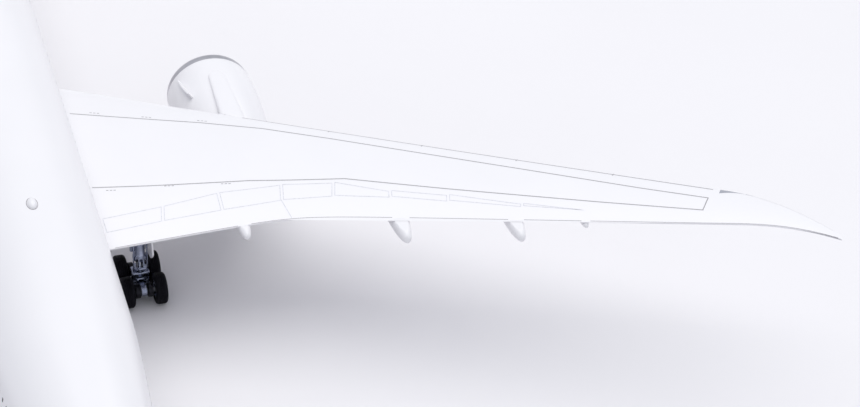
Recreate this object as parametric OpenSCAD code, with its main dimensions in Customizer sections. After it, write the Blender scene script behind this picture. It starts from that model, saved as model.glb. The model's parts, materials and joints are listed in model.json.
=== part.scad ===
// Desktop airliner model: a hollow fuselage in two halves, swept wings on a steel joiner,
// two engines with turning fans, and a landing gear that rolls, tilts and steers.
// Origin on the table under the aircraft, +Y forward, +X to the right wing, +Z up.

/* [Fuselage] */
// Radius of the cabin section
fus_r = 14.55; // [13:0.05:16]
// Height of the cabin axis above the table
fus_z = 27.75; // [26:0.05:31]
// Wall of the two shells
fus_wall = 1.3; // [1:0.1:2]
// Forward end of the nose
nose_y = 157; // [150:1:175]
// Length of the nose cone
nose_len = 31; // [27:0.5:36]
// Height of the nose tip above the table
nose_z = 23.8; // [22:0.1:26]
// Where the tail cone starts
tail_start_y = -46; // [-55:1:-44]
// Aft end of the tail cone
tail_end_y = -157; // [-175:1:-152]
// Height of the tail cone's end
tail_z = 35; // [33:0.1:38]
// Radius of the tail cone's end
tail_r = 1.8; // [1.5:0.1:2.5]

/* [Wings] */
// Half of the wing span
half_span = 150; // [140:1:170]
// Leading edge at the wing root
wing_le_y = 41.3; // [38:0.1:45]
// Trailing edge at the wing root
wing_te_y = -15; // [-18:0.1:-12]
// Backward slope of the leading edge
le_sweep = 0.70; // [0.6:0.01:0.75]
// Span position of the trailing edge kink
te_kink_x = 52.5; // [46:0.5:58]
// Backward slope of the inboard trailing edge
te_slope_in = 0.082; // [0.05:0.001:0.12]
// Backward slope of the outboard trailing edge
te_slope_out = 0.4375; // [0.42:0.0005:0.5]
// Length of the raked tip
tip_len = 17; // [14:0.5:20]
// Height of the wing root above the table
wing_z = 22.6; // [21.5:0.1:23.5]
// Upward slope of the wing
dihedral = 0.1194; // [0.1:0.0002:0.14]
// Thickness of the wing root as a share of its chord
wing_root_t = 0.115; // [0.1:0.005:0.13]
// Thickness of the wing tip as a share of its chord
wing_tip_t = 0.09; // [0.08:0.005:0.12]
// Thickness left at the trailing edge of a wing or tail
edge_t = 0.3; // [0.2:0.05:0.5]
// Width of the wing joiner
joiner_w = 8; // [6:0.5:10]
// Thickness of the wing joiner
joiner_t = 1.8; // [1.4:0.1:2.2]
// Length of the wing joiner
joiner_len = 54; // [46:1:56]

/* [Tail] */
// Height of the fin tip above the table
fin_top_z = 87; // [80:1:95]
// Leading edge of the fin where it meets the fuselage
fin_root_le = -93; // [-97:0.5:-88]
// Trailing edge of the fin where it meets the fuselage
fin_root_te = -144; // [-148:0.5:-140]
// Leading edge of the fin tip
fin_tip_le = -136.5; // [-142:0.5:-130]
// Trailing edge of the fin tip
fin_tip_te = -154; // [-160:0.5:-150]
// Half of the tailplane span
tailplane_half = 49.5; // [44:0.5:58]
// Leading edge of the tailplane on the centre plane
tailplane_root_le = -109; // [-112:0.5:-105]
// Trailing edge of the tailplane on the centre plane
tailplane_root_te = -140; // [-143:0.5:-137]
// Leading edge of the tailplane tip
tailplane_tip_le = -142.5; // [-147:0.5:-138]
// Trailing edge of the tailplane tip
tailplane_tip_te = -154; // [-160:0.5:-151]
// Height of the tailplane on the centre plane
tailplane_z = 33.4; // [32.5:0.1:34.5]
// Upward slope of the tailplane
tailplane_slope = 0.09; // [0.05:0.01:0.12]
// Radius of the pin through the tailplane roots
tail_pin_r = 0.6; // [0.5:0.05:0.7]

/* [Engines] */
// Distance of each engine from the centre plane
engine_x = 48.5; // [44:0.5:54]
// Forward end of the inlet
engine_y = 42.7; // [40:0.1:46]
// Height of the engine axis above the table
engine_z = 16.6; // [15.5:0.1:17.2]
// Largest radius of the fan cowl
cowl_r = 9.5; // [9:0.1:10]
// Length of the inlet lip and the fan cowl together
cowl_len = 28; // [25:0.5:30]
// Radius of the duct around the fan
duct_r = 7.7; // [7.5:0.05:7.9]
// Depth of the polished inlet lip
lip_len = 2.2; // [1.8:0.1:3]
// Radius over the fan blade tips
fan_r = 7.35; // [7:0.05:7.4]
// Number of fan blades
fan_blades = 18; // [12:1:24]
// Radius of the fan shaft
shaft_r = 0.8; // [0.6:0.05:1]
// Width of the pylon
pylon_w = 3.8; // [2.4:0.1:4.4]

/* [Landing gear] */
// Radius of a main tyre
main_tyre_r = 3.3; // [3:0.05:3.4]
// Width of a main tyre
main_tyre_w = 2.5; // [2.2:0.05:2.7]
// Distance between the front and rear main axles
bogie_base = 7.3; // [7.1:0.1:8.5]
// Distance between the wheels on one main axle
main_track = 6.75; // [6.6:0.05:7.5]
// Distance of each main strut from the centre plane
strut_x = 24.375; // [23:0.125:26]
// Position of the main struts along the fuselage
strut_y = -1.9; // [-4:0.1:0]
// Radius of a main strut
strut_r = 1.1; // [1:0.05:1.2]
// Radius of a main axle
main_axle_r = 0.6; // [0.5:0.05:0.7]
// Position of the nose gear along the fuselage
nose_gear_y = 122; // [114:0.5:124]
// Radius of a nose tyre
nose_tyre_r = 2.55; // [2.4:0.05:2.7]
// Width of a nose tyre
nose_tyre_w = 1.8; // [1.6:0.05:1.9]
// Distance between the two nose wheels
nose_track = 4; // [3.9:0.1:5]
// Radius of the nose leg
nose_leg_r = 1.15; // [1.05:0.05:1.3]
// Radius of the nose axle
nose_axle_r = 0.5; // [0.4:0.05:0.6]

/* [Fits] */
// Radial clearance of everything that turns
run_fit = 0.05; // [0.02:0.01:0.1]
// Clearance between glued or screwed pieces
seat_fit = 0.05; // [0.02:0.01:0.1]
// Gap between pieces that pass each other
free_gap = 0.3; // [0.25:0.05:0.4]
// Radius of the hole for the display stand's rod
stand_r = 2; // [1.5:0.1:2.5]
// Depth of the hole for the display stand's rod
stand_depth = 7; // [5:0.5:8]

/* [Hidden] */

$fn = 48;
white = [0.96, 0.97, 0.99];
silver = [0.72, 0.75, 0.8];
steel = [0.55, 0.57, 0.6];
black = [0.04, 0.04, 0.045];

half_sides = 18;      // facets round half of the fuselage
foil_steps = 8;       // facets along one side of a wing section
flat_nose = 0.002;    // share of the nose cone that ends in a flat

// ---- shared shapes ----

// End of a loft, closed by strips between the first and the second half of its ring
function cap(n, first) =
  [for (i = [0 : floor((n - 1) / 2) - 1])
    i + 1 == n - 2 - i ? [first + i, first + i + 1, first + n - 1 - i]
                       : [first + i, first + i + 1, first + n - 2 - i, first + n - 1 - i]];
function reversed(list) = [for (i = [len(list) - 1 : -1 : 0]) list[i]];

// Solid through a list of closed rings with the same number of points
module loft(rings) {
  n = len(rings[0]);
  last = len(rings) - 1;
  polyhedron(
    points = [for (ring = rings) each ring],
    faces = concat(
      cap(n, 0),
      [for (k = [0 : last - 1], i = [0 : n - 1])
        each [[k * n + i, (k + 1) * n + i, (k + 1) * n + (i + 1) % n],
              [k * n + i, (k + 1) * n + (i + 1) % n, k * n + (i + 1) % n]]],
      [for (face = cap(n, last * n)) reversed(face)]));
}

// Round bar between two points
module bar(from, to, r) {
  d = to - from;
  length = norm(d);
  translate(from)
    rotate([0, acos(d.z / length), atan2(d.y, d.x)])
      cylinder(r = r, h = length);
}

// Cylinder along X, centred on the origin
module across(r, h) {
  rotate([0, 90, 0]) cylinder(r = r, h = h, center = true);
}

module mirrored(on) {
  if (on) mirror([1, 0, 0]) children();
  else children();
}

// ---- fuselage ----

fus_top = fus_z + fus_r;
fus_bottom = fus_z - fus_r;
nose_base_y = nose_y - nose_len;
tail_len = tail_start_y - tail_end_y;

function nose_share(y) = min(max((nose_y - y) / nose_len, 0), 1);
function tail_share(y) = min(max((tail_start_y - y) / tail_len, 0), 1);
function bulge(t, a, b) = pow(1 - pow(1 - t, a), 1 / b);

function fus_half_w(y) =
  fus_r * bulge(nose_share(y), 2, 2) - (fus_r - tail_r) * pow(tail_share(y), 1.4);
function fus_top_z(y) =
  nose_z + (fus_top - nose_z) * bulge(nose_share(y), 1.7, 1.5)
  - (fus_top - tail_z - tail_r) * pow(tail_share(y), 2.2);
function fus_bottom_z(y) =
  nose_z - (nose_z - fus_bottom) * bulge(nose_share(y), 2, 2.1)
  + (tail_z - tail_r - fus_bottom) * pow(tail_share(y), 1.25);

// Half of the section at y, from the belly up to the crown, pulled in by inset
function half_ring(y, inset) =
  let (w = fus_half_w(y) - inset,
       mid = (fus_top_z(y) + fus_bottom_z(y)) / 2,
       h = (fus_top_z(y) - fus_bottom_z(y)) / 2 - inset)
  [for (i = [0 : half_sides]) let (a = 180 * i / half_sides) [w * sin(a), y, mid - h * cos(a)]];
function shell_ring(y) = concat(half_ring(y, 0), reversed(half_ring(y, fus_wall)));

hollow_front_y = nose_y - 9;
hollow_aft_y = tail_end_y + 18;
nose_tip_ys =
  [for (i = [0 : 4]) nose_y - nose_len * (flat_nose + (9 / nose_len - flat_nose) * pow(i / 4, 2))];
hollow_ys = concat(
  [for (i = [0 : 5]) hollow_front_y - (hollow_front_y - nose_base_y) * i / 5],
  [for (i = [0 : 8]) tail_start_y - (tail_start_y - hollow_aft_y) * i / 8]);
tail_tip_ys = [for (i = [0 : 2]) hollow_aft_y - (hollow_aft_y - tail_end_y) * i / 2];

module fuselage_half() {
  loft([for (y = nose_tip_ys) half_ring(y, 0)]);
  loft([for (y = hollow_ys) shell_ring(y)]);
  loft([for (y = tail_tip_ys) half_ring(y, 0)]);
}
// How far the side stands out at (y, z)
function side_x(y, z) =
  let (mid = (fus_top_z(y) + fus_bottom_z(y)) / 2)
  fus_half_w(y) * sqrt(max(1 - pow((z - mid) / (fus_top_z(y) - mid), 2), 0));
module cabin_cylinder(clearance = 0) {
  translate([0, nose_base_y, fus_z]) rotate([90, 0, 0])
    cylinder(r = fus_r + clearance, h = nose_base_y - tail_start_y, $fn = 96);
}

boss_r = 1.6;
pin_r = 0.8;
pin_len = 2;
pin_ys = [100, 60, -34, -60];
pin_z = fus_z + 0.78 * fus_r;
screw_x = 4;
screw_ys = [34, -22];
screw_r = 0.55;
screw_head_r = 1.1;
screw_head_h = 0.8;
screw_top = fus_bottom + 5;
stand_y = 8;
stand_boss_r = stand_r + 1.4;
fairing_drop = 1.9;                              // how far the fairing hangs below the cabin
stand_mouth_z = fus_bottom - fairing_drop;
stand_boss_top = stand_mouth_z + stand_depth + 1.2;
nose_boss_r = nose_leg_r + 1.3;
nose_leg_top = fus_bottom + 8;

module joiner_space(clearance) {
  translate([0, joiner_y, joiner_z])
    cube([joiner_len + 2 * clearance, joiner_w + 2 * clearance, joiner_t + 2 * clearance], center = true);
}

module fuselage_shell(left) {
  color(white)
  mirrored(left)
  difference() {
    union() {
      fuselage_half();
      for (y = pin_ys) translate([0, y, pin_z]) rotate([0, 90, 0]) cylinder(r = boss_r, h = fus_r / 2);
      for (y = screw_ys) translate([screw_x, y, fus_bottom + fus_wall]) cylinder(r = boss_r, h = 4);
      intersection() {
        translate([0, nose_gear_y, fus_bottom + fus_wall / 2])
          cylinder(r = nose_boss_r, h = nose_leg_top - fus_bottom);
        translate([0, nose_gear_y - nose_boss_r, 0]) cube([nose_boss_r, 2 * nose_boss_r, 2 * fus_z]);
      }
      if (left)
        for (y = pin_ys) translate([-pin_len, y, pin_z]) rotate([0, 90, 0])
          cylinder(r = pin_r, h = pin_len + 1);
    }
    if (!left)
      for (y = pin_ys) translate([-1, y, pin_z]) rotate([0, 90, 0])
        cylinder(r = pin_r + seat_fit, h = pin_len + 1 + free_gap);
    for (y = screw_ys) translate([screw_x, y, 0]) cylinder(r = screw_r, h = screw_top);
    translate([0, nose_gear_y, 0]) cylinder(r = nose_leg_r, h = nose_leg_top);
    translate([0, stand_y, 0]) cylinder(r = stand_boss_r + seat_fit, h = stand_boss_top + 1);
    translate([0, tail_pin_y, tailplane_z]) across(tail_pin_r, 4 * fus_r);
    joiner_space(seat_fit);
  }
}

ballast_r = 7.9;
ballast_h = 22;
ballast_front_y = 147;
ballast_z = 25.6;
module nose_ballast() {
  color(steel)
  translate([0, ballast_front_y, ballast_z]) rotate([90, 0, 0]) cylinder(r = ballast_r, h = ballast_h);
}

// ---- belly fairing ----

fairing_front_y = 56;
fairing_aft_y = -38;
fairing_side = 3;                                 // how far the fairing stands out under the wing
fairing_edge = 0.25;                              // thickness of its ends
fairing_top_z = wing_z - wing_root_t * (wing_le_y - wing_te_y) / 2 - 0.2;
fairing_half_angle = acos((fus_z - fairing_top_z) / fus_r);
fairing_steps = 16;
function fairing_swell(y) =
  pow(max(sin(180 * (fairing_front_y - y) / (fairing_front_y - fairing_aft_y)), 0), 0.7);
function fairing_t(a, y) =
  fairing_edge
  + (fairing_drop - fairing_edge + (fairing_side - fairing_drop) * pow(sin(a), 2)) * fairing_swell(y);
// Crescent section: along its outside and back along the cabin
function fairing_ring(y) =
  let (angles = [for (i = [0 : fairing_steps]) fairing_half_angle * (2 * i / fairing_steps - 1)])
  concat(
    [for (a = angles) let (r = fus_r + fairing_t(a, y)) [r * sin(a), y, fus_z - r * cos(a)]],
    [for (a = reversed(angles)) let (r = fus_r + seat_fit) [r * sin(a), y, fus_z - r * cos(a)]]);

module belly_fairing() {
  color(white)
  difference() {
    union() {
      loft([for (i = [0 : 16]) fairing_ring(fairing_front_y - (fairing_front_y - fairing_aft_y) * i / 16)]);
      translate([0, stand_y, stand_mouth_z + 0.1])
        cylinder(r = stand_boss_r, h = stand_boss_top - stand_mouth_z - 0.1);
    }
    translate([0, stand_y, stand_mouth_z - 1]) cylinder(r = stand_r, h = stand_depth + 1);
    for (x = [-screw_x, screw_x], y = screw_ys) translate([x, y, 0]) {
      cylinder(r = screw_r, h = screw_top);
      cylinder(r = screw_head_r, h = screw_head_z + screw_head_h);
    }
  }
}

screw_head_z = fus_bottom - fairing_drop + 0.35;
module belly_screws() {
  color(steel)
  for (x = [-screw_x, screw_x], y = screw_ys) translate([x, y, screw_head_z]) {
    cylinder(r = screw_head_r, h = screw_head_h);
    cylinder(r = screw_r, h = screw_top - screw_head_z);
  }
}

// ---- wings ----

tip_start_x = half_span - tip_len;
wing_inner_x = fus_r - 4;
root_x = fus_r;                                   // where the wing meets the cabin side
le_hook = 9.5;                                    // extra rake of the leading edge at the tip
te_hook = 4.5;                                    // extra rake of the trailing edge at the tip
hook_power = 2.4;                                 // how late along the tip the rake grows
kink_round = 8;                                   // how softly the trailing edge turns at its kink
te_mean = (te_slope_in + te_slope_out) / 2;
te_turn = (te_slope_out - te_slope_in) / 2;
kink_y = wing_te_y - te_slope_in * (te_kink_x - root_x);
wing_camber = 0.008;                              // rise of the section's mid line, as a share of the chord
joiner_y = 12;
joiner_z = wing_z + 0.7;

function tip_share(x) = max((x - tip_start_x) / tip_len, 0);
function wing_le(x) = wing_le_y - le_sweep * (x - root_x) - le_hook * pow(tip_share(x), hook_power);
function wing_te(x) =
  kink_y - te_mean * (x - te_kink_x) - te_turn * (norm([x - te_kink_x, kink_round]) - kink_round / 4)
  - te_hook * pow(tip_share(x), hook_power);
function wing_mid_z(x) = wing_z + dihedral * (x - root_x) + 0.0000662 * pow(x - root_x, 2);
function wing_t(x) = wing_root_t + (wing_tip_t - wing_root_t) * x / half_span;

// Half thickness of a section at the share u of its chord, for a full thickness of 1
function foil_half(u) =
  5 * (0.2969 * sqrt(u) - 0.126 * u - 0.3516 * pow(u, 2) + 0.2843 * pow(u, 3) - 0.1036 * pow(u, 4));
function foil_u(i) = (1 - cos(180 * i / foil_steps)) / 2;

// One side of a section as [share of the chord, height], side is 1 above and -1 below
function foil_side(chord, t, camber, side) =
  [for (i = [0 : foil_steps]) let (u = foil_u(i))
    [u * chord, 4 * camber * chord * u * (1 - u) + side * (foil_half(u) * t * chord + u * edge_t / 2)]];
function foil(chord, t, camber) =
  let (above = foil_side(chord, t, camber, 1), below = foil_side(chord, t, camber, -1))
  concat(reversed(above), [for (i = [1 : foil_steps]) below[i]]);

// Height of the wing's underside at (x, y); past an edge it stays level
function under_wing_z(x, y) =
  let (chord = wing_le(x) - wing_te(x), u = min(max((wing_le(x) - y) / chord, 0), 1))
  wing_mid_z(x) + 4 * wing_camber * chord * u * (1 - u) - foil_half(u) * wing_t(x) * chord - u * edge_t / 2;

function wing_ring(x) =
  let (chord = max(wing_le(x) - wing_te(x), 0.5))
  [for (p = foil(chord, wing_t(x), wing_camber)) [x, wing_te(x) + chord - p.x, wing_mid_z(x) + p.y]];
wing_xs = concat(
  [for (i = [0 : 9]) wing_inner_x + (te_kink_x + 14 - wing_inner_x) * i / 9],
  [for (i = [1 : 4]) te_kink_x + 14 + (tip_start_x - te_kink_x - 14) * i / 4],
  [for (i = [1 : 6]) tip_start_x + tip_len * sqrt(i / 6)]);

module wing_solid() {
  loft([for (x = wing_xs) wing_ring(x)]);
}

module wing(left) {
  color(white)
  mirrored(left)
  difference() {
    wing_solid();
    cabin_cylinder(seat_fit);
    joiner_space(seat_fit);
    translate([strut_x, strut_y, 0]) cylinder(r = strut_r, h = strut_top_z);
  }
}

module wing_joiner() {
  color(steel) joiner_space(0);
}

// Canoe fairing: [span position, overhang past the trailing edge, length, half width]
canoes = [[42.8, 2.8, 24, 1.65], [72.4, 5.8, 26, 2], [93.4, 4.8, 22, 1.8], [106, 0.9, 14, 1]];
function canoe_ring(x, overhang, length, half_w, share) =
  let (r = half_w * pow(4 * share * (1 - share), 0.55), y = wing_te(x) - overhang + length * share,
       z = wing_mid_z(x) - 0.62 * half_w - 0.09 * length * share * share)
  [for (i = [0 : 11]) let (px = x + r * cos(30 * i + 15))
    [px, y, min(z + 1.25 * r * sin(30 * i + 15), under_wing_z(px, y) - seat_fit)]];

module flap_fairings(left) {
  color(white)
  mirrored(left)
  for (c = canoes) loft([for (i = [0 : 9]) canoe_ring(c[0], c[1], c[2], c[3], 0.01 + 0.98 * i / 9)]);
}

// ---- tail ----

// Point p of the fin's section at the height z; the root ring follows the crown
function fin_ring(z) =
  let (share = (z - fus_top) / (fin_top_z - fus_top),
       le = fin_root_le + (fin_tip_le - fin_root_le) * share,
       te = fin_root_te + (fin_tip_te - fin_root_te) * share)
  [for (p = foil(le - te, 0.095, 0)) [p.y, le - p.x, z > fus_top ? z : fus_top_z(le - p.x) + seat_fit]];
module vertical_fin() {
  color(white)
  loft([for (z = [fus_top, fus_top + 0.5, fin_top_z - 1.2, fin_top_z]) fin_ring(z)]);
}

tailplane_root_x = side_x(tailplane_root_le, tailplane_z) + 1;
tail_pin_y = -124;
tail_pin_half = 12;
function tailplane_ring(x) =
  let (share = x / tailplane_half,
       le = tailplane_root_le + (tailplane_tip_le - tailplane_root_le) * share,
       te = tailplane_root_te + (tailplane_tip_te - tailplane_root_te) * share)
  [for (p = foil(le - te, 0.09, 0)) let (z = tailplane_z + tailplane_slope * x + p.y)
    [x > 0 ? x : side_x(le - p.x, tailplane_z) + seat_fit, le - p.x, z]];
module tailplane(left) {
  color(white)
  mirrored(left)
  difference() {
    loft([for (x = [0, tailplane_root_x, tailplane_half - 1.5, tailplane_half]) tailplane_ring(x)]);
    translate([0, tail_pin_y, tailplane_z]) across(tail_pin_r, 2 * tail_pin_half + 2 * seat_fit);
  }
}
module tailplane_pin() {
  color(steel) translate([0, tail_pin_y, tailplane_z]) across(tail_pin_r, 2 * tail_pin_half);
}

beacon_y = -21.7;
beacon_r = 1.25;
module antennas() {
  color(white) {
    difference() {
      translate([0, beacon_y, fus_top - 0.3]) sphere(r = beacon_r);
      cabin_cylinder();
    }
    difference() {
      translate([-0.2, 80, fus_bottom - 2.2]) cube([0.4, 4, 3]);
      cabin_cylinder();
      translate([-1, 84, fus_bottom - 3]) rotate([30, 0, 0]) cube([2, 4, 4]);
    }
  }
}

// ---- engines ----

cowl_exit_t = cowl_len;
cowl_widest_t = 0.38 * cowl_len;
exit_r = 8.2;
exit_wall = 0.35;
lip_r = cowl_r - 0.35;
lip_crest_r = (lip_r + duct_r) / 2;
core_start_t = 14;
core_len = 26;
core_r = 5.4;
core_exit_r = 3.6;
hub_r = 2.3;
fan_t = 7.2;                                      // middle of the fan behind the lip
fan_w = 1.8;
shaft_front_t = fan_t - fan_w / 2 - 0.6;

// Things drawn round +Z with the lip at z = 0 are turned to point forward
module at_engine() {
  translate([engine_x, engine_y, engine_z]) rotate([-90, 0, 0]) children();
}

function cowl_out_r(t) = t < cowl_widest_t
  ? cowl_r - (cowl_r - lip_r) * pow((cowl_widest_t - t) / (cowl_widest_t - lip_len), 2)
  : cowl_r - (cowl_r - exit_r) * pow((t - cowl_widest_t) / (cowl_exit_t - cowl_widest_t), 2);
cowl_ts = [for (i = [0 : 12]) lip_len + (cowl_exit_t - lip_len) * i / 12];

module cowl_ring() {
  rotate_extrude()
    polygon(concat([for (t = cowl_ts) [cowl_out_r(t), -t]],
      [[exit_r - exit_wall, -cowl_exit_t], [duct_r, -cowl_exit_t + 6], [duct_r, -lip_len]]));
}

strake_angle = 42;                                // how far the strake leans from the top to the inboard side
strake_w = 0.3;
strake_rise = 1.5;
strake_root = 0.6;                                // depth of the strake's foot below the cowl's largest radius
strake_front_t = 4.2;
strake_aft_t = 13;
module fan_cowl(left) {
  color(white)
  mirrored(left)
  at_engine() {
    cowl_ring();
    rotate([0, 0, -strake_angle]) translate([-strake_w / 2, -cowl_r, 0]) rotate([0, 90, 0])
      linear_extrude(strake_w)
        polygon([[strake_front_t, strake_root], [strake_aft_t, strake_root], [strake_aft_t, -strake_rise],
          [strake_aft_t - 1.5, -strake_rise], [strake_front_t + 1.5, -strake_rise / 4]]);
  }
}
module inlet_lip(left) {
  color(silver)
  mirrored(left)
  at_engine()
    rotate_extrude()
      polygon(concat(
        [for (i = [0 : 8]) let (a = 90 * i / 8)
          [lip_crest_r + (lip_r - lip_crest_r) * cos(a), -lip_len * (1 - sin(a))]],
        [for (i = [1 : 8]) let (a = 90 * i / 8)
          [lip_crest_r - (lip_crest_r - duct_r) * sin(a), -lip_len * (1 - cos(a))]]));
}

stator_t = 11;
stator_h = 2;
stator_vanes = 8;
stator_vane_w = 0.6;
stator_ring_w = 0.5;
module stator_frame(left) {
  color(silver)
  mirrored(left)
  at_engine()
    translate([0, 0, -stator_t - stator_h]) {
      difference() {
        union() {
          cylinder(r = core_r - 1, h = stator_h);
          for (i = [0 : stator_vanes - 1]) rotate([0, 0, 360 * (i + 0.4) / stator_vanes])
            translate([core_r / 2, -stator_vane_w / 2, stator_h * 0.1])
              cube([duct_r - stator_ring_w / 2 - core_r / 2, stator_vane_w, stator_h * 0.8]);
          rotate_extrude() translate([duct_r - stator_ring_w, 0]) square([stator_ring_w, stator_h]);
        }
        translate([0, 0, -1]) cylinder(r = shaft_r, h = stator_h + 2);
      }
    }
}
module fan_shafts() {
  color(steel)
  for (left = [false, true]) mirrored(left)
    at_engine() {
      translate([0, 0, -stator_t - stator_h]) cylinder(r = shaft_r, h = stator_t + stator_h - shaft_front_t);
    }
}
module fan(left) {
  color(steel)
  mirrored(left)
  at_engine()
    translate([0, 0, -fan_t])
      difference() {
        union() {
          cylinder(r = hub_r, h = fan_w, center = true);
          for (i = [0 : fan_blades - 1]) rotate([0, 0, 360 * i / fan_blades])
            translate([hub_r - 0.3, 0, 0]) rotate([35, 0, 0])
              translate([0, -0.15, -fan_w / 2]) cube([fan_r - hub_r + 0.25, 0.3, fan_w]);
        }
        cylinder(r = shaft_r + run_fit, h = 4 * fan_w, center = true);
      }
}
module spinner(left) {
  color(white)
  mirrored(left)
  at_engine()
    difference() {
      translate([0, 0, -fan_t + fan_w / 2])
        rotate_extrude()
          polygon(concat([[0, 0]], [for (i = [0 : 8]) let (a = 90 * i / 8) [hub_r * cos(a), 3.6 * sin(a)]]));
      translate([0, 0, -fan_t]) cylinder(r = shaft_r + run_fit, h = fan_t - shaft_front_t + free_gap);
    }
}
module core_cowl(left) {
  color(silver)
  mirrored(left)
  at_engine()
    rotate_extrude()
      polygon(concat(
        [[core_r - 1, -stator_t - stator_h]],
        [for (i = [0 : 8]) let (u = i / 8)
          [core_r - (core_r - core_exit_r) * u * u, -core_start_t - core_len * u]],
        [[core_exit_r - 0.5, -core_start_t - core_len], [core_r - 1.6, -core_start_t - 2],
         [core_r - 1.6, -stator_t - stator_h]]));
}
plug_r = core_r - 1.6;
module exhaust_plug(left) {
  color(steel)
  mirrored(left)
  at_engine()
    translate([0, 0, -core_start_t - 2])
      rotate([180, 0, 0])
        rotate_extrude()
          polygon([[0, 0], [plug_r, 0], [plug_r - 1.3, 12], [1.9, 20], [0.5, core_len + 3],
            [0, core_len + 3]]);
}

// The pylon is a wall between a top and a bottom line, given by the distance t behind the lip
pylon_front_t = 7;
pylon_aft_y = wing_te(engine_x) + 9;
pylon_aft_t = engine_y - pylon_aft_y;
pylon_rise = 0.9;                                 // height of the pylon over the cowl at the wing's edge
pylon_round = 0.1;                                // how much lower the top is along its sides
pylon_lead = 0.8;                                 // how far ahead the top starts to dip under the wing
pylon_nose = 1.5;                                 // how much further aft the sides start than the middle
function over_round_z(r, dx) = engine_z + sqrt(r * r - dx * dx) + seat_fit;
function core_out_r(t) = core_r - (core_r - core_exit_r) * pow(max(t - core_start_t, 0) / core_len, 2);
function pylon_side(x) = pow(2 * (x - engine_x) / pylon_w, 2);
function pylon_top_z(x, t) =
  let (le_t = engine_y - wing_le(x))
  t < le_t - pylon_lead
    ? engine_z + cowl_r - pylon_round * pylon_side(x)
      + pylon_rise * sqrt((t - pylon_front_t + 0.1) / (le_t - pylon_front_t))
    : min(min([for (s = [t, t + pylon_lead]) under_wing_z(x, engine_y - s)]) - seat_fit,
          engine_z + cowl_r + pylon_rise);
function pylon_bottom_z(x, t) =
  t <= cowl_exit_t ? over_round_z(cowl_out_r(t), x - engine_x)
  : t < pylon_drop_t ? over_round_z(core_out_r(t), x - engine_x)
  : let (share = (t - pylon_drop_t) / (pylon_aft_t - pylon_drop_t))
    over_round_z(core_out_r(pylon_drop_t), x - engine_x) * (1 - share)
    + (under_wing_z(x, engine_y - t) - 0.5) * share;
pylon_drop_t = core_start_t + 0.8 * core_len;
pylon_ts = concat(
  [for (i = [0 : 6]) pylon_front_t + (cowl_exit_t - 6 - pylon_front_t) * pow(i / 6, 1.6)],
  [for (i = [1 : 6]) cowl_exit_t - 6 + i],
  [cowl_exit_t + free_gap],
  [for (i = [1 : 10]) cowl_exit_t + free_gap + (pylon_aft_t - cowl_exit_t - free_gap) * i / 10]);
function pylon_shift(x, t) =
  t + pylon_nose * pylon_side(x) * max(1 - (t - pylon_front_t) / (4 * pylon_nose), 0);
function pylon_ring(x) = concat(
  [for (s = pylon_ts) let (t = pylon_shift(x, s)) [x, engine_y - t, pylon_top_z(x, t)]],
  [for (s = reversed(pylon_ts)) let (t = pylon_shift(x, s))
    [x, engine_y - t, min(pylon_bottom_z(x, t), pylon_top_z(x, t) - 0.1)]]);
module pylon(left) {
  color(white)
  mirrored(left)
  loft([for (side = [1, 0.6, 0, -0.6, -1]) pylon_ring(engine_x + side * pylon_w / 2)]);
}

// ---- main gear ----

axle_z = main_tyre_r;
beam_half_w = 0.9;
beam_r = 1.1;
cheek_w = 0.8;
strut_top_z = wing_mid_z(strut_x) + 0.4;
collar_r = strut_r + 0.35;
pivot_pin_r = 0.6;

module main_strut(left) {
  color(silver)
  mirrored(left)
  translate([strut_x, strut_y, 0]) {
    difference() {
      union() {
        translate([0, 0, axle_z + 2.6]) cylinder(r = 0.8, h = 5);
        translate([0, 0, axle_z + 6]) cylinder(r = strut_r, h = strut_top_z - axle_z - 6);
        translate([0, 0, axle_z + 6]) cylinder(r = collar_r, h = 1);
        translate([0, 0, axle_z + 10.5]) cylinder(r = collar_r, h = 0.8);
        translate([0, 0, axle_z + 1.4]) cylinder(r = beam_half_w + free_gap / 2 + cheek_w, h = 1.4);
        for (side = [-1, 1]) translate([side * (beam_half_w + run_fit + cheek_w / 2), 0, axle_z]) {
          across(beam_r, cheek_w);
          translate([-cheek_w / 2, -beam_r, 0]) cube([cheek_w, 2 * beam_r, 1.6]);
        }
      }
      translate([0, 0, axle_z]) across(pivot_pin_r, 8);
      translate([0, 0, axle_z]) across(beam_r + free_gap, 2 * (beam_half_w + run_fit));
    }
  }
}

// Braces run from a height on the strut to a point on the wing's underside
side_brace_foot = [strut_x - 0.6, strut_y, axle_z + 8.6];
side_brace_head = [fus_r + 3.5, strut_y + 1.5, under_wing_z(fus_r + 3.5, strut_y + 1.5) - 0.35];
drag_brace_head = [strut_x - 0.4, strut_y + 9, under_wing_z(strut_x - 0.4, strut_y + 9) - 0.35];
module main_gear_braces() {
  color(silver)
  for (left = [false, true]) mirrored(left) difference() {
    union() {
      bar(side_brace_foot, side_brace_head, 0.45);
      bar(side_brace_foot, drag_brace_head, 0.4);
      for (h = [0, 1]) translate([strut_x - 0.4, 0, 0])
        linear_extrude_x(0.8)
          polygon([[strut_y - 0.8, axle_z + 2.9 + 3.6 * h], [strut_y - 2.6, axle_z + 4.6 + 0.3 * h],
          [strut_y - 2.6, axle_z + 5 + 0.3 * h], [strut_y - 0.8, axle_z + 3.5 + 3.6 * h]]);
    }
    translate([strut_x, strut_y, axle_z - 1]) cylinder(r = strut_r + seat_fit, h = 2 * fus_r);
    translate([strut_x, strut_y, axle_z + 6 - seat_fit]) cylinder(r = collar_r + seat_fit, h = 1 + 2 * seat_fit);
  }
}
// Extrudes a (Y, Z) outline along +X
module linear_extrude_x(w) {
  rotate([90, 0, 90]) linear_extrude(w) children();
}

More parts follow.
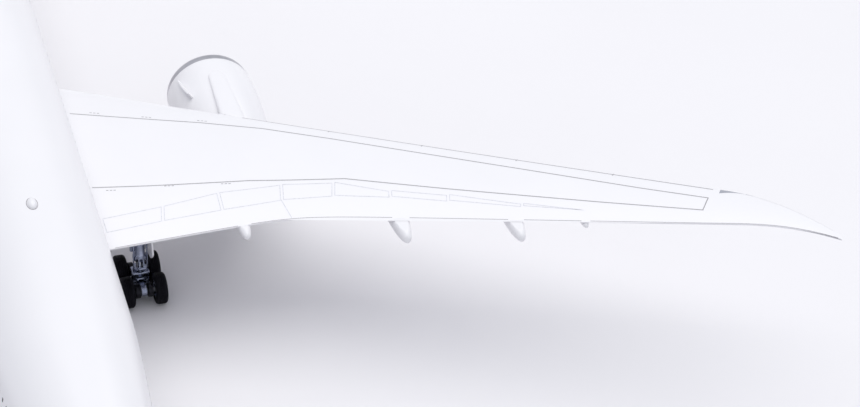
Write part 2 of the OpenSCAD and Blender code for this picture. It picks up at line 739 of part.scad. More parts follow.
door_x = strut_x + 2.1;
door_t = 0.6;
door_bottom_z = 2 * main_tyre_r + 2.2;
module main_gear_doors() {
  color(white)
  for (left = [false, true]) mirrored(left) difference() {
    union() {
      translate([door_x, 0, 0]) linear_extrude_x(door_t)
        polygon(concat([[strut_y - 3.2, door_bottom_z + 1.5], [strut_y - 2, door_bottom_z],
          [strut_y + 3, door_bottom_z], [strut_y + 4.2, door_bottom_z + 1.5]],
          [for (y = [strut_y + 4.8 : -1.4 : strut_y - 3.7]) [y, under_wing_z(door_x, y) - seat_fit]]));
      for (z = [axle_z + 8.5, axle_z + 15]) translate([strut_x + strut_r / 2, strut_y, z])
        rotate([0, 90, 0]) cylinder(r = 0.4, h = door_x - strut_x - strut_r / 2 + 0.1);
    }
    translate([strut_x, strut_y, 0]) cylinder(r = strut_r, h = 2 * fus_r);
  }
}

module bogie_pivot_pins() {
  color(steel)
  for (left = [false, true]) mirrored(left)
    translate([strut_x, strut_y, axle_z]) across(pivot_pin_r, 2 * (beam_half_w + run_fit + cheek_w));
}
module bogie_beam(left) {
  color(silver)
  mirrored(left)
  translate([strut_x, strut_y, axle_z])
    difference() {
      union() {
        translate([-beam_half_w, -bogie_base / 2, -0.9]) cube([2 * beam_half_w, bogie_base, 1.8]);
        for (y = [-bogie_base / 2, 0, bogie_base / 2]) translate([0, y, 0]) across(beam_r, 2 * beam_half_w);
        for (y = [-1, 1]) translate([0, y * (bogie_base / 2 + beam_r - 0.2), 0])
          rotate([90, 0, 0]) cylinder(r = 0.55, h = 1.2, center = true);
      }
      for (y = [-bogie_base / 2, bogie_base / 2]) translate([0, y, 0]) across(main_axle_r + run_fit, 4);
      across(pivot_pin_r + run_fit, 4);
    }
}

// Axle positions along the fuselage: front is 1, rear is -1
function axle_y(front) = strut_y + front * bogie_base / 2;
module main_axle(left, front) {
  color(steel)
  mirrored(left)
  translate([strut_x, axle_y(front), axle_z]) across(main_axle_r, main_track + 1.6);
}
module wheel_hub(tyre_r, tyre_w, bore_r) {
  rim_r = 0.56 * tyre_r;
  rotate([0, 90, 0])
    rotate_extrude()
      polygon([[bore_r, -tyre_w * 0.3], [rim_r - 0.3, -tyre_w * 0.16], [rim_r - 0.3, -tyre_w * 0.42],
        [rim_r, -tyre_w * 0.42], [rim_r, tyre_w * 0.42], [rim_r - 0.3, tyre_w * 0.42],
        [rim_r - 0.3, tyre_w * 0.16], [bore_r, tyre_w * 0.3]]);
}
module wheel_tyre(tyre_r, tyre_w) {
  rim_r = 0.56 * tyre_r;
  shoulder = 0.28 * tyre_w;
  rotate([0, 90, 0])
    rotate_extrude()
      polygon(concat(
        [[rim_r, -tyre_w * 0.42], [rim_r + 0.15, -tyre_w / 2 + 0.05]],
        [for (i = [0 : 5]) let (a = 90 * i / 5)
          [tyre_r - shoulder + shoulder * sin(a), -tyre_w / 2 + shoulder - shoulder * cos(a)]],
        [for (i = [5 : -1 : 0]) let (a = 90 * i / 5)
          [tyre_r - shoulder + shoulder * sin(a), tyre_w / 2 - shoulder + shoulder * cos(a)]],
        [[rim_r + 0.15, tyre_w / 2 - 0.05], [rim_r, tyre_w * 0.42]]));
}
module main_hubs(left, front) {
  color(silver)
  mirrored(left)
  for (side = [-1, 1]) translate([strut_x + side * main_track / 2, axle_y(front), axle_z])
    wheel_hub(main_tyre_r, main_tyre_w, main_axle_r);
}
module main_tyres(left, front) {
  color(black)
  mirrored(left)
  for (side = [-1, 1]) translate([strut_x + side * main_track / 2, axle_y(front), axle_z])
    wheel_tyre(main_tyre_r, main_tyre_w);
}

// ---- nose gear ----

piston_r = 0.7;
nose_leg_bottom = nose_tyre_r + 3.6;
module nose_gear_leg() {
  color(silver)
  translate([0, nose_gear_y, 0])
    difference() {
      union() {
        translate([0, 0, nose_leg_bottom]) cylinder(r = nose_leg_r, h = nose_leg_top - nose_leg_bottom);
        translate([0, 0, nose_leg_bottom]) cylinder(r = nose_leg_r + 0.4, h = 0.9);
      }
      translate([0, 0, nose_leg_bottom - 1]) cylinder(r = piston_r + run_fit, h = 6);
    }
}
module nose_fork() {
  color(silver)
  translate([0, nose_gear_y, 0])
    difference() {
      union() {
        translate([0, 0, nose_tyre_r]) cylinder(r = piston_r, h = nose_leg_bottom - nose_tyre_r + 4.5);
        translate([0, 0, nose_leg_bottom - 1.1]) cylinder(r = nose_leg_r + 0.3, h = 0.8);
        translate([0, 0, nose_tyre_r]) across(1, nose_track - nose_tyre_w - 2 * free_gap);
      }
      translate([0, 0, nose_tyre_r]) across(nose_axle_r + run_fit, 6);
    }
}
module nose_axle() {
  color(steel) translate([0, nose_gear_y, nose_tyre_r]) across(nose_axle_r, nose_track + 1.2);
}
module nose_hubs() {
  color(silver)
  for (side = [-1, 1]) translate([side * nose_track / 2, nose_gear_y, nose_tyre_r])
    wheel_hub(nose_tyre_r, nose_tyre_w, nose_axle_r);
}
module nose_tyres() {
  color(black)
  for (side = [-1, 1]) translate([side * nose_track / 2, nose_gear_y, nose_tyre_r])
    wheel_tyre(nose_tyre_r, nose_tyre_w);
}
module nose_drag_brace() {
  color(silver)
  difference() {
    for (side = [-1, 1])
      bar([side * 0.5, nose_gear_y - 0.5, nose_leg_bottom + 2.4],
        [side * 2, nose_gear_y - 9, fus_bottom + 0.6], 0.4);
    translate([0, nose_gear_y, 0]) cylinder(r = nose_leg_r, h = 2 * fus_z);
    cabin_cylinder();
  }
}
nose_door_x = 3.6;
nose_door_top_z = fus_z - sqrt(fus_r * fus_r - nose_door_x * nose_door_x) - seat_fit;
module nose_gear_doors() {
  color(white)
  for (left = [false, true]) mirrored(left)
    translate([nose_door_x, nose_gear_y - 4.5, 0])
      linear_extrude_x(0.5)
        polygon([[0, nose_door_top_z], [0.5, nose_leg_bottom + 2.4], [2, nose_leg_bottom + 1.8],
          [7, nose_leg_bottom + 1.8], [8, nose_door_top_z]]);
}

fuselage_shell(true);  // fuselage_left_shell
fuselage_shell(false);  // fuselage_right_shell
nose_ballast();
belly_fairing();
belly_screws();
wing_joiner();
wing(true);  // left_wing
wing(false);  // right_wing
flap_fairings(true);  // left_flap_fairings
flap_fairings(false);  // right_flap_fairings
vertical_fin();
tailplane(true);  // left_tailplane
tailplane(false);  // right_tailplane
tailplane_pin();
antennas();
pylon(true);  // left_pylon
pylon(false);  // right_pylon
fan_cowl(true);  // left_fan_cowl
fan_cowl(false);  // right_fan_cowl
inlet_lip(true);  // left_inlet_lip
inlet_lip(false);  // right_inlet_lip
stator_frame(true);  // left_stator_frame
stator_frame(false);  // right_stator_frame
core_cowl(true);  // left_core_cowl
core_cowl(false);  // right_core_cowl
exhaust_plug(true);  // left_exhaust_plug
exhaust_plug(false);  // right_exhaust_plug
fan_shafts();
nose_gear_leg();
nose_drag_brace();
nose_gear_doors();
main_strut(true);  // left_main_strut
main_strut(false);  // right_main_strut
main_gear_braces();
main_gear_doors();
bogie_pivot_pins();
fan(true);  // left_fan
fan(false);  // right_fan
spinner(true);  // left_spinner
spinner(false);  // right_spinner
nose_fork();
nose_axle();
nose_hubs();
nose_tyres();
bogie_beam(true);  // left_bogie_beam
bogie_beam(false);  // right_bogie_beam
main_axle(true, 1);  // left_front_axle
main_axle(true, -1);  // left_rear_axle
main_axle(false, 1);  // right_front_axle
main_axle(false, -1);  // right_rear_axle
main_hubs(true, 1);  // left_front_hubs
main_hubs(true, -1);  // left_rear_hubs
main_hubs(false, 1);  // right_front_hubs
main_hubs(false, -1);  // right_rear_hubs
main_tyres(true, 1);  // left_front_tyres
main_tyres(true, -1);  // left_rear_tyres
main_tyres(false, 1);  // right_front_tyres
main_tyres(false, -1);  // right_rear_tyres
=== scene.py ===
import json
import math

import bmesh
import bpy
from bpy.props import FloatProperty, FloatVectorProperty, IntProperty, PointerProperty
from bpy.types import Operator, Panel, PropertyGroup
from mathutils import Matrix, Vector


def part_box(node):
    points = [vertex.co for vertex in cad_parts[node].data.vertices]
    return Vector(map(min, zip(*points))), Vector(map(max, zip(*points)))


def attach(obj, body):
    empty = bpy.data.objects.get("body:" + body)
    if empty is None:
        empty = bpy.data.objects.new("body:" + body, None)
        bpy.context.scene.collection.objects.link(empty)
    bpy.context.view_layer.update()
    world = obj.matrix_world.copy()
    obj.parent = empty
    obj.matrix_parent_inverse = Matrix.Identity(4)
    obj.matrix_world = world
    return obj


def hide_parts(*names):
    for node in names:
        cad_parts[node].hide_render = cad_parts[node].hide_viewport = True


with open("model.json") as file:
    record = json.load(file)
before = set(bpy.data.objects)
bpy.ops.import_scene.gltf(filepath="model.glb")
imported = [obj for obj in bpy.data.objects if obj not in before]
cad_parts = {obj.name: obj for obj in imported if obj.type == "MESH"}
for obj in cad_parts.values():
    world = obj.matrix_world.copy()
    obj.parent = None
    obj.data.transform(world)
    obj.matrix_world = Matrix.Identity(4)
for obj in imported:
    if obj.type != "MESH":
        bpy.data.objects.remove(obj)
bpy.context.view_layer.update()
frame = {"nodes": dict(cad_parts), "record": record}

bl_info = {
    "name": "Desktop Airliner",
    "version": (1, 0, 0),
    "blender": (4, 5, 0),
    "location": "View3D > Sidebar > Airliner",
    "description": "Builds the painted skins, printing and landing gear of a desktop airliner model",
    "category": "Object",
}

MM = 0.001
ROOT = "airframe"
SIDES = {"right": 1, "left": -1}
WELD = 1e-6


# ---------------------------------------------------------------- sizes and colours

class AirlinerShape(PropertyGroup):
    """Driving sizes of the airframe, in millimetres of the model."""

    fus_r: FloatProperty(name="Cabin radius", description="Radius of the cabin section",
                         default=14.55, min=13, max=16)
    fus_z: FloatProperty(name="Cabin axis", description="Height of the cabin axis",
                         default=27.75, min=26, max=31)
    nose_y: FloatProperty(name="Nose", description="Forward end of the nose", default=157, min=150, max=175)
    nose_len: FloatProperty(name="Nose length", description="Length of the nose cone",
                            default=31, min=27, max=36)
    nose_z: FloatProperty(name="Nose tip height", description="Height of the nose tip",
                          default=23.8, min=22, max=26)
    tail_start_y: FloatProperty(name="Tail start", description="Where the tail cone starts", default=-46)
    tail_end_y: FloatProperty(name="Tail end", description="Aft end of the tail cone", default=-157)
    tail_z: FloatProperty(name="Tail height", description="Height of the tail cone's end", default=35)
    tail_r: FloatProperty(name="Tail end radius", description="Radius of the tail cone's end", default=1.8)
    half_span: FloatProperty(name="Half span", description="Half of the wing span", default=150)
    tip_len: FloatProperty(name="Raked tip", description="Length of the raked tip", default=17)
    wing_le_y: FloatProperty(name="Root leading edge", description="Leading edge at the root", default=41.3)
    wing_te_y: FloatProperty(name="Root trailing edge", description="Trailing edge at the root", default=-15)
    le_sweep: FloatProperty(name="Leading edge slope", description="Backward slope of the leading edge",
                            default=0.70)
    te_kink_x: FloatProperty(name="Kink", description="Span position of the trailing edge kink", default=52.5)
    te_slope_in: FloatProperty(name="Inboard slope", description="Inboard trailing edge slope", default=0.082)
    te_slope_out: FloatProperty(name="Outboard slope", description="Outboard trailing edge slope",
                                default=0.4375)
    wing_z: FloatProperty(name="Wing height", description="Height of the wing root", default=22.6)
    dihedral: FloatProperty(name="Dihedral", description="Upward slope of the wing", default=0.1194)
    root_t: FloatProperty(name="Root thickness", description="Thickness over chord at the root",
                          default=0.115)
    tip_t: FloatProperty(name="Tip thickness", description="Thickness over chord at the tip", default=0.09)
    edge_t: FloatProperty(name="Edge thickness", description="Thickness of a trailing edge", default=0.3)


class AirlinerGear(PropertyGroup):
    """Sizes of the engines and the landing gear, in millimetres."""

    engine_x: FloatProperty(name="Engine offset", description="Distance of an engine from the centre",
                            default=48.5)
    engine_y: FloatProperty(name="Engine front", description="Forward end of the inlet", default=42.7)
    engine_z: FloatProperty(name="Engine height", description="Height of the engine axis", default=16.6)
    cowl_r: FloatProperty(name="Cowl radius", description="Largest radius of the fan cowl", default=9.5)
    cowl_len: FloatProperty(name="Cowl length", description="Length of the lip and the fan cowl", default=28)
    duct_r: FloatProperty(name="Duct radius", description="Radius of the duct round the fan", default=7.7)
    fan_blades: IntProperty(name="Fan blades", description="Number of fan blades", default=18, min=12, max=24)
    strut_x: FloatProperty(name="Strut offset", description="Distance of a main strut from the centre",
                           default=24.375)
    strut_y: FloatProperty(name="Strut position", description="Position of the main struts", default=-1.9)
    bogie_base: FloatProperty(name="Bogie base", description="Distance between the main axles", default=7.3)
    main_track: FloatProperty(name="Track", description="Distance between the wheels of an axle",
                              default=6.75)
    main_tyre_r: FloatProperty(name="Main tyre radius", description="Radius of a main tyre", default=3.3)
    main_tyre_w: FloatProperty(name="Main tyre width", description="Width of a main tyre", default=2.5)
    nose_gear_y: FloatProperty(name="Nose gear", description="Position of the nose gear", default=122)
    nose_tyre_r: FloatProperty(name="Nose tyre radius", description="Radius of a nose tyre", default=2.55)
    nose_tyre_w: FloatProperty(name="Nose tyre width", description="Width of a nose tyre", default=1.8)
    nose_track: FloatProperty(name="Nose track", description="Distance between the nose wheels", default=4)


class AirlinerFinish(PropertyGroup):
    """Colours of the finishes and the width of the printing."""

    paint: FloatVectorProperty(name="Paint", description="White enamel",
                               subtype="COLOR", default=(0.868, 0.858, 0.878))
    # Also the colour of the painted shade strips along the wing edges and round the beacon's foot.
    line: FloatVectorProperty(name="Line", description="Printed line",
                              subtype="COLOR", default=(0.33, 0.32, 0.335))
    engraving: FloatVectorProperty(name="Engraving", description="Fine panel line", subtype="COLOR",
                                   default=(0.6, 0.6, 0.64))
    lip: FloatVectorProperty(name="Inlet lip", description="Inlet lip metal",
                             subtype="COLOR", default=(0.62, 0.61, 0.64))
    gear: FloatVectorProperty(name="Gear", description="Landing gear metal",
                              subtype="COLOR", default=(0.33, 0.36, 0.46))
    tyre: FloatVectorProperty(name="Tyre", description="Tyre rubber",
                              subtype="COLOR", default=(0.003, 0.003, 0.005))
    line_w: FloatProperty(name="Line width", description="Width of a printed line, mm", default=0.22)


PROPS = {}


# ---------------------------------------------------------------- mesh helpers

def patch(nu, nv, place):
    """Grid of nu by nv cells whose points go where place(u, v) says, in millimetres, with doubles merged."""
    bm = bmesh.new()
    bmesh.ops.create_grid(bm, x_segments=nu, y_segments=nv, size=1)
    for v in bm.verts:
        v.co = Vector(place((v.co.x + 1) / 2, (v.co.y + 1) / 2)) * MM
    bmesh.ops.remove_doubles(bm, verts=bm.verts, dist=WELD)
    return bm


def close_ends(bm):
    bmesh.ops.holes_fill(bm, edges=bm.edges, sides=0)
    bmesh.ops.triangulate(bm, faces=[f for f in bm.faces if len(f.verts) > 4])
    return bm


def thicken(bm, amount):
    bmesh.ops.recalc_face_normals(bm, faces=bm.faces)
    bmesh.ops.solidify(bm, geom=bm.faces[:], thickness=amount * MM)
    return bm


def revolve(profile, steps=96, axis="Y", centre=(0, 0, 0)):
    """Solid turned from (radius, position) points; a closed profile repeats its first point."""
    bm = bmesh.new()
    along = {"X": Vector((1, 0, 0)), "Y": Vector((0, 1, 0)), "Z": Vector((0, 0, 1))}[axis]
    out = Vector((0, 0, 1)) if axis != "Z" else Vector((1, 0, 0))
    verts = [bm.verts.new((out * r + along * p) * MM) for r, p in profile]
    for a, b in zip(verts, verts[1:]):
        bm.edges.new((a, b))
    bmesh.ops.spin(bm, geom=bm.verts[:] + bm.edges[:], cent=(0, 0, 0), axis=along, dvec=(0, 0, 0),
                   angle=2 * math.pi, steps=steps, use_merge=True, use_duplicate=False)
    bmesh.ops.remove_doubles(bm, verts=bm.verts, dist=WELD)
    bmesh.ops.recalc_face_normals(bm, faces=bm.faces)
    bmesh.ops.translate(bm, verts=bm.verts, vec=Vector(centre) * MM)
    return bm


def block(size, centre, bevel=0.15, segments=2, turn=None):
    """Box with rounded edges."""
    bm = bmesh.new()
    bmesh.ops.create_cube(bm, size=1)
    bmesh.ops.scale(bm, verts=bm.verts, vec=Vector(size) * MM)
    bmesh.ops.bevel(bm, geom=bm.edges[:], offset=bevel * MM, offset_type="OFFSET", segments=segments,
                    profile=0.5, affect="EDGES", material=-1, clamp_overlap=True)
    if turn:
        bmesh.ops.rotate(bm, verts=bm.verts, cent=(0, 0, 0), matrix=turn)
    bmesh.ops.translate(bm, verts=bm.verts, vec=Vector(centre) * MM)
    return bm


def rod(start, end, r, steps=20, collar=None):
    """Round bar between two points with softened ends, and a collar at each share of its length in collar."""
    start, end = Vector(start), Vector(end)
    length = (end - start).length
    soft = min(0.12, r * 0.3)
    profile = [(0, 0), (r - soft, 0), (r, soft)]
    for share in collar or ():
        at = share * length
        profile += [(r, at - 0.25), (r * 1.35, at - 0.2), (r * 1.35, at + 0.2), (r, at + 0.25)]
    profile += [(r, length - soft), (r - soft, length), (0, length)]
    bm = revolve(profile, steps, "Z")
    turn = Vector((0, 0, 1)).rotation_difference(end - start).to_matrix()
    bmesh.ops.rotate(bm, verts=bm.verts, cent=(0, 0, 0), matrix=turn)
    bmesh.ops.translate(bm, verts=bm.verts, vec=start * MM)
    return bm


def joined(parts):
    """One bmesh from several; the parts stay separate islands."""
    whole = bmesh.new()
    for part in parts:
        mesh = bpy.data.meshes.new("part")
        part.to_mesh(mesh)
        part.free()
        whole.from_mesh(mesh)
        bpy.data.meshes.remove(mesh)
    return whole


def mirrored(bm, side):
    if side < 0:
        bmesh.ops.scale(bm, verts=bm.verts, vec=(-1, 1, 1))
        bmesh.ops.reverse_faces(bm, faces=bm.faces)
    return bm


def piece(name, bm, material, body=ROOT, nodes=(), sharp=35):
    """Turns a finished bmesh into a piece that rides on a body and stands for CAD nodes."""
    mesh = bpy.data.meshes.new(name)
    bm.to_mesh(mesh)
    bm.free()
    mesh.shade_smooth()
    mesh.set_sharp_from_angle(angle=math.radians(sharp))
    mesh.materials.append(material)
    obj = bpy.data.objects.new(name, mesh)
    bpy.context.scene.collection.objects.link(obj)
    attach(obj, body)
    if nodes:
        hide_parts(*nodes)
    return obj


# ---------------------------------------------------------------- shape of the airframe

def bulge(t, a, b):
    return max(1 - (1 - t) ** a, 0) ** (1 / b)


def cabin(y):
    """Half width, top and bottom of the fuselage at y."""
    s = PROPS["shape"]
    nose = min(max((s.nose_y - y) / s.nose_len, 0), 1)
    tail = min(max((s.tail_start_y - y) / (s.tail_start_y - s.tail_end_y), 0), 1)
    top, bottom = s.fus_z + s.fus_r, s.fus_z - s.fus_r
    half_w = s.fus_r * bulge(nose, 2, 2) - (s.fus_r - s.tail_r) * tail ** 1.4
    high = s.nose_z + (top - s.nose_z) * bulge(nose, 1.7, 1.5) - (top - s.tail_z - s.tail_r) * tail ** 2.2
    low = s.nose_z - (s.nose_z - bottom) * bulge(nose, 2, 2.1) + (s.tail_z - s.tail_r - bottom) * tail ** 1.25
    return half_w, high, low


def cabin_point(y, angle, lift=0.0):
    """Point on the fuselage skin; the angle runs from the crown to the right side and on to the belly."""
    half_w, high, low = cabin(y)
    mid, half_h = (high + low) / 2, (high - low) / 2
    return ((half_w + lift) * math.sin(angle), y, mid + (half_h + lift) * math.cos(angle))


def wing_le(x):
    s = PROPS["shape"]
    tip = max((x - s.half_span + s.tip_len) / s.tip_len, 0)
    return s.wing_le_y - s.le_sweep * (x - s.fus_r) - 9.5 * tip ** 2.4


def wing_te(x):
    s = PROPS["shape"]
    tip = max((x - s.half_span + s.tip_len) / s.tip_len, 0)
    mean, turn = (s.te_slope_in + s.te_slope_out) / 2, (s.te_slope_out - s.te_slope_in) / 2
    kink_y = s.wing_te_y - s.te_slope_in * (s.te_kink_x - s.fus_r)
    return kink_y - mean * (x - s.te_kink_x) - turn * (math.hypot(x - s.te_kink_x, 8) - 2) - 4.5 * tip ** 2.4


def wing_mid(x):
    s = PROPS["shape"]
    return s.wing_z + s.dihedral * (x - s.fus_r) + 0.0000662 * (x - s.fus_r) ** 2


def foil_half(u):
    u = min(max(u, 0), 1)
    return 5 * (0.2969 * math.sqrt(u) - 0.126 * u - 0.3516 * u ** 2 + 0.2843 * u ** 3 - 0.1036 * u ** 4)


def wing_z_at(x, y, side):
    """Height of the wing's upper (side 1) or lower (side -1) skin; level past the edges."""
    s = PROPS["shape"]
    chord = max(wing_le(x) - wing_te(x), 0.5)
    u = min(max((wing_le(x) - y) / chord, 0), 1)
    thick = (s.root_t + (s.tip_t - s.root_t) * x / s.half_span) * chord
    return wing_mid(x) + 0.032 * chord * u * (1 - u) + side * (foil_half(u) * thick + u * s.edge_t / 2)


def foil_ring(u, le, chord, thick, camber, edge):
    """Section point: u runs from the trailing edge over the top, round the nose and back below."""
    side = 1 if u < 0.5 else -1
    share = (1 + math.cos(2 * math.pi * u)) / 2
    return le - share * chord, camber * chord * share * (1 - share) + side * (
        foil_half(share) * thick * chord + share * edge / 2)


def wing_skin():
    s = PROPS["shape"]
    start = s.fus_r - 3

    def place(u, v):
        x = start + (s.half_span - start) * (1 - (1 - v) ** 1.25)
        chord = max(wing_le(x) - wing_te(x), 0.5)
        share = (1 + math.cos(2 * math.pi * u)) / 2
        y = wing_te(x) + chord - share * chord
        thick = s.root_t + (s.tip_t - s.root_t) * x / s.half_span
        _, dz = foil_ring(u, 0, chord, thick, 0.032, s.edge_t)
        return x, y, wing_mid(x) + dz
    return close_ends(patch(120, 150, place))


# ---------------------------------------------------------------- materials

def new_material(name):
    mat = bpy.data.materials.new(name)
    mat.use_nodes = True
    nodes = mat.node_tree.nodes
    return mat, nodes, mat.node_tree.links, nodes["Principled BSDF"]


def noise(nodes, links, scale, detail=3.0):
    coord = nodes.new("ShaderNodeTexCoord")
    tex = nodes.new("ShaderNodeTexNoise")
    tex.inputs["Scale"].default_value = scale
    tex.inputs["Detail"].default_value = detail
    links.new(coord.outputs["Object"], tex.inputs["Vector"])
    return tex


def spread(nodes, links, source, low, high):
    """Maps a 0 to 1 value to low..high."""
    ramp = nodes.new("ShaderNodeMapRange")
    ramp.inputs["To Min"].default_value = low
    ramp.inputs["To Max"].default_value = high
    links.new(source, ramp.inputs["Value"])
    return ramp.outputs["Result"]


def tinted(nodes, links, source, dark, light):
    ramp = nodes.new("ShaderNodeValToRGB")
    ramp.color_ramp.elements[0].position = 0.3
    ramp.color_ramp.elements[0].color = (*dark, 1)
    ramp.color_ramp.elements[1].position = 0.7
    ramp.color_ramp.elements[1].color = (*light, 1)
    links.new(source, ramp.inputs["Fac"])
    return ramp.outputs["Color"]


def bumped(nodes, links, shader, source, distance, strength=0.3):
    bump = nodes.new("ShaderNodeBump")
    bump.inputs["Strength"].default_value = strength
    bump.inputs["Distance"].default_value = distance
    links.new(source, bump.inputs["Height"])
    links.new(bump.outputs["Normal"], shader.inputs["Normal"])


def enamel(name, colour, rough=(0.3, 0.4), coat=0.25):
    """Sprayed enamel: faint cloudiness, uneven gloss and a fine orange peel."""
    mat, nodes, links, shader = new_material(name)
    cloud = noise(nodes, links, 60)
    peel = noise(nodes, links, 1400, 2)
    links.new(tinted(nodes, links, cloud.outputs["Fac"], [c * 0.985 for c in colour], colour),
              shader.inputs["Base Color"])
    links.new(spread(nodes, links, cloud.outputs["Fac"], *rough), shader.inputs["Roughness"])
    shader.inputs["Coat Weight"].default_value = coat
    shader.inputs["Coat Roughness"].default_value = 0.2
    bumped(nodes, links, shader, peel.outputs["Fac"], 0.00001, 0.15)
    return mat


def ink(name, colour):
    """Printed ink, a little uneven in density."""
    mat, nodes, links, shader = new_material(name)
    grain = noise(nodes, links, 2500, 2)
    links.new(tinted(nodes, links, grain.outputs["Fac"], colour, [min(c * 1.25 + 0.02, 1) for c in colour]),
              shader.inputs["Base Color"])
    shader.inputs["Roughness"].default_value = 0.45
    return mat


def metal(name, colour, rough=(0.25, 0.42), scale=300, streak=(1, 1, 1)):
    """Plated metal with fine directional wear."""
    mat, nodes, links, shader = new_material(name)
    coord = nodes.new("ShaderNodeTexCoord")
    stretch = nodes.new("ShaderNodeMapping")
    stretch.inputs["Scale"].default_value = streak
    tex = nodes.new("ShaderNodeTexNoise")
    tex.inputs["Scale"].default_value = scale
    tex.inputs["Detail"].default_value = 4
    links.new(coord.outputs["Object"], stretch.inputs["Vector"])
    links.new(stretch.outputs["Vector"], tex.inputs["Vector"])
    links.new(tinted(nodes, links, tex.outputs["Fac"], [c * 0.82 for c in colour], colour),
              shader.inputs["Base Color"])
    links.new(spread(nodes, links, tex.outputs["Fac"], *rough), shader.inputs["Roughness"])
    shader.inputs["Metallic"].default_value = 1.0
    bumped(nodes, links, shader, tex.outputs["Fac"], 0.00002, 0.2)
    return mat


def rubber(name, colour):
    mat, nodes, links, shader = new_material(name)
    grain = noise(nodes, links, 1800, 4)
    links.new(tinted(nodes, links, grain.outputs["Fac"], colour, [c * 1.8 + 0.001 for c in colour]),
              shader.inputs["Base Color"])
    links.new(spread(nodes, links, grain.outputs["Fac"], 0.55, 0.75), shader.inputs["Roughness"])
    shader.inputs["Specular IOR Level"].default_value = 0.1
    bumped(nodes, links, shader, grain.outputs["Fac"], 0.00003, 0.5)
    return mat


def card(name, colour):
    """Matt paper sheet with a very faint mottle."""
    mat, nodes, links, shader = new_material(name)
    mottle = noise(nodes, links, 9, 5)
    links.new(tinted(nodes, links, mottle.outputs["Fac"], [c * 0.975 for c in colour], colour),
              shader.inputs["Base Color"])
    shader.inputs["Roughness"].default_value = 0.75
    return mat


FINISHES = {}


def make_finishes():
    c = PROPS["finish"]
    FINISHES.update(
        paint=enamel("white_enamel", c.paint),
        # The line finish serves both the printing and the painted shade strips along the wing edges and round
        # the beacon.
        line=ink("printed_line_and_painted_shade", c.line),
        engraving=ink("fine_panel_line", c.engraving),
        glazing=ink("printed_glazing", (0.03, 0.032, 0.038)),
        lens=enamel("lamp_lens", (0.36, 0.37, 0.42), (0.12, 0.2), 0.5),
        lip=metal("inlet_lip_metal", c.lip, (0.3, 0.45), 400, (1, 0.1, 1)),
        gear=metal("gear_metal", c.gear, (0.18, 0.32), 900),
        brake=metal("brake_metal", (0.025, 0.025, 0.03), (0.35, 0.5), 900),
        chrome=metal("piston_chrome", (0.75, 0.77, 0.8), (0.08, 0.18), 500, (1, 1, 0.1)),
        exhaust=metal("exhaust_metal", (0.3, 0.29, 0.28), (0.35, 0.5), 350, (1, 0.1, 1)),
        core=metal("core_cowl_metal", (0.5, 0.51, 0.53), (0.3, 0.42), 350, (1, 0.1, 1)),
        fan=metal("fan_metal", (0.2, 0.205, 0.22), (0.25, 0.4), 600),
        steel=metal("bright_steel", (0.55, 0.56, 0.58), (0.22, 0.35), 700),
        tyre=rubber("tyre_rubber", c.tyre))


# ---------------------------------------------------------------- printed strips

def ribbon(points, width, height_at, lift=0.02, step=1.0, closed=False):
    """Thin printed strip along a polyline of (x, y) points, laid on the surface that height_at gives."""
    path = [Vector(p) for p in points]
    if closed:
        path.append(path[0])
    dense = [path[0]]
    for a, b in zip(path, path[1:]):
        n = max(int((b - a).length / step), 1)
        dense += [a.lerp(b, (i + 1) / n) for i in range(n)]
    sides = []
    for i, p in enumerate(dense):
        before = (p - dense[i - 1]).normalized() if i else (dense[1] - p).normalized()
        after = (dense[i + 1] - p).normalized() if i + 1 < len(dense) else before
        along = (before + after).normalized()
        across = Vector((-along.y, along.x)) / max(along.dot(before), 0.5)
        sides.append(across * width / 2)

    def place(u, v):
        i = round(u * (len(dense) - 1))
        p = dense[i] + sides[i] * (2 * v - 1)
        return p.x, p.y, height_at(p.x, p.y) + lift
    bm = patch(len(dense) - 1, 1, place)
    for f in bm.faces:
        f.normal_update()
        if f.normal.z < 0:
            f.normal_flip()
    return bm


def on_wing(x, y):
    return wing_z_at(x, y, 1)


# ---------------------------------------------------------------- operators

class AIRLINER_OT_finishes(Operator):
    """Make the paint, print, metal and rubber finishes"""
    bl_idname = "airliner.finishes"
    bl_label = "Finishes"

    def execute(self, context):
        make_finishes()
        axles = [f"{name}_{end}_axle" for name in SIDES for end in ("front", "rear")]
        steel = ["nose_ballast", "wing_joiner", "tailplane_pin", "fan_shafts", "bogie_pivot_pins",
                 "belly_screws", "nose_axle", *axles]
        stators = [f"{name}_stator_frame" for name in SIDES]
        for finish, nodes in (("steel", steel), ("core", stators)):
            for node in nodes:
                for held in frame["nodes"][node].material_slots:
                    held.material = FINISHES[finish]
        return {"FINISHED"}


class AIRLINER_OT_fuselage(Operator):
    """Loft the fuselage skin"""
    bl_idname = "airliner.fuselage"
    bl_label = "Fuselage"

    def execute(self, context):
        s = PROPS["shape"]

        def place(u, v):
            nose_part = 0.3
            tail_at = 0.45
            if v < nose_part:
                y = s.nose_y - s.nose_len * (v / nose_part) ** 2
            elif v < tail_at:
                y = s.nose_y - s.nose_len + (s.tail_start_y - s.nose_y + s.nose_len) * (v - nose_part) / (
                    tail_at - nose_part)
            else:
                y = s.tail_start_y + (s.tail_end_y - s.tail_start_y) * (v - tail_at) / (1 - tail_at)
            return cabin_point(y, 2 * math.pi * u)
        bm = close_ends(patch(96, 160, place))
        bmesh.ops.recalc_face_normals(bm, faces=bm.faces)
        piece("fuselage_skin", bm, FINISHES["paint"], nodes=("fuselage_left_shell", "fuselage_right_shell"))
        return {"FINISHED"}


